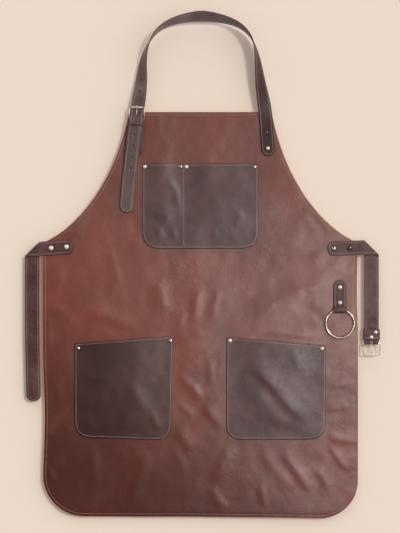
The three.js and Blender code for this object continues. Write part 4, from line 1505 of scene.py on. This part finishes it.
def build_buckle_frame(prefix, heel, up, body, narrow):
    """The frame, and the bright roller on its toe bar; narrow is taken off at each side."""
    low, high = cad_corners(prefix + "_frame")
    half_x = (high[0] - low[0]) / 2 - BUCKLE_BAR - narrow
    reach = high[2] - low[2] - 2 * BUCKLE_BAR
    loop = closed(rounded_loop(half_x, reach / 2, BUCKLE_CORNER))
    flat = resample(loop, 96)[:-1]
    z = heel[2] + up * (flat[:, 1] + reach / 2)
    path = np.column_stack([heel[0] + flat[:, 0], np.full(len(flat), heel[1]), z])
    parts = MeshParts()
    parts.add(*wire(path, BUCKLE_BAR * BAR_FLATTENED, True))
    half_roller = half_x - BUCKLE_CORNER - ROLLER_PLAY
    roller = [(heel[0] + x, heel[1], heel[2] + up * reach)
              for x in np.linspace(-half_roller, half_roller, 9)]
    parts.add(*wire(roller, ROLLER_RADIUS, False), slot=1)
    frame_piece = parts.build(prefix + "_frame_metal", BRASS, RIVET_METAL)
    hand_over(frame_piece, body, "brass", prefix + "_frame")


def build_prong(prefix, heel, up, body):
    """The prong: an eye round the heel bar, and a stem that thins towards its tip."""
    eye = arc(0, 0, PRONG_EYE_RADIUS, 215, -155, 40)
    stem = spline(PRONG_STEM, 6)
    taper = np.interp(stem[:, 1], [0, 18, 24, 26.6], [1, 0.95, 0.8, 0.45])
    parts = MeshParts()
    eye_size, stem_size = np.array([0.62, 1.3]), np.array([0.8, 1.0])
    for flat, radii in ((eye, eye_size), (stem, stem_size * taper[:, None])):
        path = heel + np.column_stack([np.zeros(len(flat)), up * flat])
        parts.add(*wire(path, radii, False, up=(1, 0, 0)))
    prong = parts.build(prefix + "_prong_metal", BRASS)
    hand_over(prong, body, "brass", prefix + "_prong")


# ------------------------------------------------------------------ waist straps

WAIST_TAB_Y = cad_middle("left_waist_tab")[1]
WAIST_TAIL_Y = cad_middle("left_waist_tail")[1]
FOLD_RADIUS = (WAIST_TAIL_Y - WAIST_TAB_Y) / 2
# the gap between a tab and its tail, where a strap would turn from the one body to the other; it
# goes along with the bodies but is not used
LAYER_GAP_FRONT = (0, cad_corners("left_waist_tab")[1][1] * MM, 0)
LAYER_GAP_BACK = (0, cad_corners("left_waist_tail")[0][1] * MM, 0)
WAIST_END = 242.5  # how far from the middle the tabs' riveted ends are
WAIST_HEEL = np.array([cad_middle("waist_buckle_frame")[0], -2.6, -186.3])
WAIST_TURN_Z = -150


class WaistFold:
    """A waist strap drawn straight out from its tab, folded back along a 45 degree crease.

    side is -1 for the left strap and 1 for the right one; rise is how much higher the tab's
    riveted end is than its crease, and lean how far the tail's tip hangs to the right.
    """

    def __init__(self, side, tail_x, crease_z, rise, lean=0.0):
        self.side = side
        self.crease_z = crease_z
        self.rise = rise
        self.lean = lean
        self.crease_s = tail_x - WAIST_END
        self.shift = math.pi * FOLD_RADIUS / 2

    def skew(self, s):
        """Rows turn to run along the crease near it."""
        near = abs(s - self.crease_s)
        return -float(1 - smooth((near - 16) / 42))

    def bend(self, s, w, h):
        past = (s - self.crease_s + w) / math.sqrt(2) + self.shift
        foot_out = s - past / math.sqrt(2)
        foot_up = w - past / math.sqrt(2)
        turn = np.clip(past / FOLD_RADIUS, 0, math.pi)
        straight = np.where(past < 0, past, 0) - np.clip(past - math.pi * FOLD_RADIUS, 0, None)
        outward = straight + (FOLD_RADIUS + h) * np.sin(turn)
        y = WAIST_TAB_Y + FOLD_RADIUS - (FOLD_RADIUS + h) * np.cos(turn)
        out = foot_out + outward / math.sqrt(2)
        up = foot_up + outward / math.sqrt(2)
        lift = self.rise * (1 - smooth(out / self.crease_s)) * (turn <= 0)
        x = self.side * (WAIST_END + out) + self.lean * smooth((-up - 150) / 140)
        return np.column_stack([x, y, self.crease_z + up + lift])


def build_waist_strap(prefix, fold, tip_z, end, holes, body):
    """A strap from its riveted tab to its tip; the stitches inside the fold ride its tail."""
    length = fold.crease_s + fold.crease_z - tip_z
    strip = Strap(length, WAIST_WIDTH, STRAP_THICK, step=4, holes=holes,
                  start="round", end=end, corner=11.5, skew=fold.skew, back_slot=2,
                  fine=[(fold.crease_s - 9, fold.crease_s + 9, 0.6)])
    lining = LINING if end == "square" else STRAP
    strap = strip.build(prefix + "_leather", fold.bend, [STRAP, STRAP_EDGE, lining])
    if fold.side > 0:
        strap.data.flip_normals()
    blend = ("apron", body, LAYER_GAP_FRONT, LAYER_GAP_BACK)
    hand_over(strap, blend, "strap_leather", prefix + "_tab", prefix + "_tail")
    tail_start = fold.crease_s + WAIST_WIDTH / 2 + 4
    for name, start, face, carrier in (("_stitching", 0.0, 1, blend),
                                       ("_tail_stitching", tail_start, -1, body)):
        parts = MeshParts()
        for line in strip.stitch_lines(start):
            add_stitches(parts, line, fold.bend, STRAP_THICK / 2 - STITCH_SINK, faces=(face,))
        if fold.side > 0:
            parts.mirror_faces()
        finish_stitching(parts, prefix + name, carrier)


def build_waist_straps():
    left = WaistFold(-1, -cad_middle("left_waist_tail")[0], -8, 4.5, lean=2.5)
    first_hole = left.crease_s + left.crease_z + 42.5
    holes = [first_hole + n * HOLE_PITCH for n in range(11)]
    tip_z = cad_corners("left_waist_tail")[0][2]
    build_waist_strap("left_waist", left, tip_z, "round", holes, "left_waist_strap")
    right = WaistFold(1, cad_middle("right_waist_tail")[0], -5, -1.5)
    build_waist_strap("right_waist", right, -162, "square", [], "right_waist_strap")
    build_waist_turn()
    leather_band("waist_keeper_leather", "waist_keeper", "right_waist_strap", 2.0, (3.2,))


def build_waist_turn():
    """The thinned end of the right strap, turned round the heel bar of its buckle."""
    x, _, _ = cad_middle("right_waist_tail")
    back = cad_corners("right_waist_tail")[1][1]
    path = turned_path(back, BUCKLE_BORE, WAIST_HEEL[1:], -1, WAIST_TURN_Z, -163, settle=5.5)
    bend = TurnedBend(x, path, -1)
    fold = WAIST_TURN_Z - WAIST_HEEL[2]
    strip = Strap(bend.length, WAIST_WIDTH, TURNED_THICK, step=2,
                  slot=(fold - 5, fold + 13, PRONG_SLOT_HALF),
                  fine=[(fold - 7, fold + 20, 0.8)], inset=3)
    build_turned("waist_turn_leather", [], bend, strip, "right_waist_strap", fold + 8,
                 bend.length)


# ------------------------------------------------------------------ towel ring

RING_BORE = 4.0


def build_ring_tab():
    """A round-ended strip folded double, with the ring in its fold."""
    low, high = cad_corners("ring_tab")
    reach = RING_BORE + TURNED_THICK
    bar = (high[1] - reach, low[2] + reach)
    path = turned_path(high[1], RING_BORE, bar, -1, high[2], high[2], settle=10.4, straight=2)
    bend = TurnedBend((low[0] + high[0]) / 2, path, -1)
    fold = high[2] - bar[1]
    strip = Strap(bend.length, high[0] - low[0], TURNED_THICK, step=2, start="round",
                  end="round", corner=11, fine=[(fold - 4, fold + 30, 1.0)], inset=3.2)
    build_turned("ring_tab_leather", ["ring_tab"], bend, strip, "apron", fold + 22, None)


def build_towel_ring():
    """A ring of round bar, with a slight bulge where it is joined."""
    low, high = cad_corners("towel_ring")
    bar = (high[1] - low[1]) / 2 * 1.04
    radius = (high[2] - low[2]) / 2 - bar
    angles = round_angles(120)
    flat = np.column_stack([np.sin(angles), np.zeros(len(angles)), np.cos(angles)])
    weld = 1 + 0.035 * bump_at(angles, 0.35, 0.03)
    radii = bar * np.column_stack([weld, weld])
    parts = MeshParts()
    parts.add(*wire(cad_middle("towel_ring") + radius * flat, radii, True, sides=20))
    hand_over(parts.build("towel_ring_metal", BRASS), "ring", "brass", "towel_ring")


# ------------------------------------------------------------------ rivets

CAP_RADIUS = 2.9
SHANK_RADIUS = 1.5
DOME_Y = 0.35  # how far the dome's rim stands off the leather
CAP_SUNK = 0.45  # how far a cap is pressed into the back of the panel


def rivet_profile(head, cap_y):
    """(radius, y) points from the back cap to the tip of the domed head at y < 0."""
    rise = head * 0.42
    dome = [(head * math.cos(a), -DOME_Y - rise * math.sin(a))
            for a in np.radians([0, 15, 30, 45, 60, 75, 86])]
    return [
        (0.3, cap_y + 0.55), (CAP_RADIUS * 0.8, cap_y + 0.5), (CAP_RADIUS, cap_y + 0.25),
        (CAP_RADIUS * 0.97, cap_y), (SHANK_RADIUS, cap_y - 0.02), (SHANK_RADIUS, 0.05),
        (head * 0.96, 0.05), (head, -0.1), *dome, (0.15, -DOME_Y - rise),
    ]


def rivet_surface(name):
    """The y of the leather under a rivet's head, and of the surface under its cap."""
    panel_back = PANEL_HIGH[1] - CAP_SUNK
    if "pocket" in name:
        return PANEL_FRONT - POCKET_GAP - POCKET_THICK, panel_back
    if name.startswith("neck_anchor"):
        return NECK_PATH[-1][1] - STRAP_THICK / 2, panel_back
    if name.startswith(("neck_chape", "ring_tab")):
        doubled = cad_corners(name.split("_rivet")[0])[1][1]
        return doubled - 2 * TURNED_THICK - TURNED_GAP, panel_back
    if name.startswith("waist_end"):
        keeper_low, keeper_high = cad_corners("waist_keeper")
        return keeper_low[1], keeper_high[1]
    return WAIST_TAB_Y - STRAP_THICK / 2, panel_back


def build_rivets():
    """All rivets, as one object for each body and finish."""
    ends = [n for n in RIVETS if n.startswith("waist_end")]
    bright = [n for n in RIVETS if n not in ends + PAINTED_SHADE_RIVETS + WORN_RIVETS]
    # one group gets the dark metal that is painted shade for domes reflecting a dark room
    groups = [("panel_rivets", "apron", bright, RIVET_METAL),
              ("worn_rivets", "apron", WORN_RIVETS, WORN_RIVET_METAL),
              ("painted_shade_rivets", "apron", PAINTED_SHADE_RIVETS, PAINTED_SHADE_RIVET_METAL),
              ("waist_end_rivets", "right_waist_strap", ends, RIVET_METAL)]
    for name, body, nodes, material in groups:
        parts = MeshParts()
        for node in nodes:
            low, high = cad_corners(node)
            surface, cap = rivet_surface(node)
            head = (high[2] - low[2]) / 2
            middle = (low + high) / 2
            middle[1] = surface
            parts.add(*lathe(rivet_profile(head, cap - surface), middle))
        hand_over(parts.build(name, material), body, "rivet_metal", *nodes)


# ------------------------------------------------------------------ stage, light and camera

PAPER = srgb(230, 211, 194)
FLOOR_PAPER = srgb(200, 182, 166)
PAPER_FIBRES = srgb(218, 198, 180)

# The stage, lights and camera are placed in metres.
WALL_Y = 0.01
FLOOR_Z = -0.6
STAGE_REACH = 3.0
VIEW_WIDTH = 0.762
VIEW_MIDDLE = (-0.0006, -0.041)
CAMERA_DISTANCE = 5.0
KEY_ENERGY = 1.27
WORLD_DIM = 0.34
WORLD_BRIGHT = 1.68
WORLD_BRIGHT_WAY = (0.5, 0.4, 0.6)
WORLD_COLOUR = (0.98, 1.0, 1.02, 1.0)
REFLECTED_SHARE = 0.13  # reflections see a dimmer room


def stage_material(name, paper):
    """Plain paper that can't be seen from behind."""

    def paint(n):
        fibres = n.noise(40, 2, 0.5)
        colour = n.mix(n.span(fibres, 0.3, 0.7, 0.0, 0.05), paper, PAPER_FIBRES)
        front = n.surface(Base_Color=colour, Roughness=0.9, Specular_IOR_Level=0.1)
        behind = n.add("NewGeometry", "Backfacing")
        return n.add("MixShader", 0, {0: behind, 1: front, 2: n.add("BsdfTransparent", 0)})

    return new_material(name, paint)


def add_stage():
    """The wall that the apron hangs before, which stops no light, and the floor."""
    wall_y, floor_z, far = WALL_Y / MM, FLOOR_Z / MM, STAGE_REACH / MM
    wall_corners = [(-far, wall_y, floor_z), (far, wall_y, floor_z), (far, wall_y, far),
                    (-far, wall_y, far)]
    floor_corners = [(-far, -far, floor_z), (far, -far, floor_z), (far, far, floor_z),
                     (-far, far, floor_z)]
    one_face = [[0, 1, 2, 3]]
    wall = add_mesh("wall", wall_corners, one_face, [stage_material("wall_paper", PAPER)])
    floor = add_mesh("floor", floor_corners, one_face,
                     [stage_material("floor_paper", FLOOR_PAPER)])
    floor.visible_glossy = False
    floor.visible_diffuse = False
    wall.visible_diffuse = False
    wall.visible_shadow = False


def add_light(name, kind, energy, position, width):
    """A light aimed at the apron; width is a sun's angle in degrees or a softbox's size."""
    data = bpy.data.lights.new(name, kind)
    data.energy = energy
    if kind == "SUN":
        data.angle = math.radians(width)
    else:
        data.size = width
    light = bpy.data.objects.new(name, data)
    light.location = position
    aim = bpy.data.objects.new(name + "_aim", None)
    aim.location = (0, 0, 0) if kind == "SUN" else (0, 0, -0.1)
    for item in (light, aim):
        bpy.context.scene.collection.objects.link(item)
    track = light.constraints.new("TRACK_TO")
    track.target = aim
    track.track_axis = "TRACK_NEGATIVE_Z"
    track.up_axis = "UP_Y"
    return light


def add_softboxes():
    """Two lights that are only seen as the sheen of the leather and the metal."""
    pieces = bpy.data.collections.new("lit_by_softboxes")
    for piece in [item for item in bpy.context.scene.objects if item.type == "MESH"]:
        pieces.objects.link(piece)
    right = add_light("right_softbox", "AREA", 4.6, (0.52, -1.6, -0.24), 0.5)
    left = add_light("left_softbox", "AREA", 8, (-1.3, -1.1, 0.5), 0.6)
    for softbox in (right, left):
        softbox.data.color = (1.0, 0.97, 0.97)
        softbox.visible_camera = False
        softbox.visible_diffuse = False
        softbox.light_linking.receiver_collection = pieces


def add_world():
    """A room that is bright above and to the right, and plain paper to the camera."""
    world = bpy.data.worlds.new("studio")
    world.use_nodes = True
    n = Nodes(world.node_tree)
    facing = n.along(WORLD_BRIGHT_WAY, n.add("TexCoord", "Generated"))
    level = n.add("MapRange", 0, enumerate([facing, -0.7, 0.8, WORLD_DIM, WORLD_BRIGHT]))
    dimmed = n.math("MULTIPLY", level, REFLECTED_SHARE)
    is_glossy = n.add("LightPath", "Is Glossy Ray")
    is_camera = n.add("LightPath", "Is Camera Ray")
    seen = n.add("Mix", 0, {0: is_glossy, 2: level, 3: dimmed})
    strength = n.add("Mix", 0, {0: is_camera, 2: seen, 3: 1.0})
    background = world.node_tree.nodes["Background"]
    n.set(background.inputs["Strength"], strength)
    n.set(background.inputs["Color"], n.mix(is_camera, WORLD_COLOUR, PAPER))
    bpy.context.scene.world = world


def add_lights():
    """A sun from the upper right, a weaker one from behind, softboxes and the room."""
    add_light("key", "SUN", KEY_ENERGY, (0.53, -1, 0.33), 9)
    add_light("back_fill", "SUN", 1.1, (-0.2, 1.0, 0.3), 30)
    add_softboxes()
    add_world()


def add_camera():
    """Straight at the front, with the photograph's framing."""
    data = bpy.data.cameras.new("camera")
    data.sensor_fit = "HORIZONTAL"
    data.sensor_width = 36
    data.lens = data.sensor_width * CAMERA_DISTANCE / VIEW_WIDTH
    camera = bpy.data.objects.new("camera", data)
    camera.location = (VIEW_MIDDLE[0], -CAMERA_DISTANCE, VIEW_MIDDLE[1])
    camera.rotation_euler = (math.pi / 2, 0, 0)
    bpy.context.scene.collection.objects.link(camera)
    bpy.context.scene.camera = camera


# ------------------------------------------------------------------ the whole apron

build_panel()
build_pockets()
build_neck_strap()
build_neck_chape()
leather_band("neck_keeper_leather", "neck_keeper", "apron", 2.4, (5.4, 9.6))
build_buckle("neck_buckle", NECK_HEEL, 1, ("neck_buckle", "neck_prong"), narrow=1.3)
build_waist_straps()
build_buckle("waist_buckle", WAIST_HEEL, -1, ("waist_buckle", "waist_prong"))
build_ring_tab()
build_towel_ring()
build_rivets()
add_lights()
add_stage()
add_camera()

bpy.context.scene.view_settings.view_transform = "Standard"
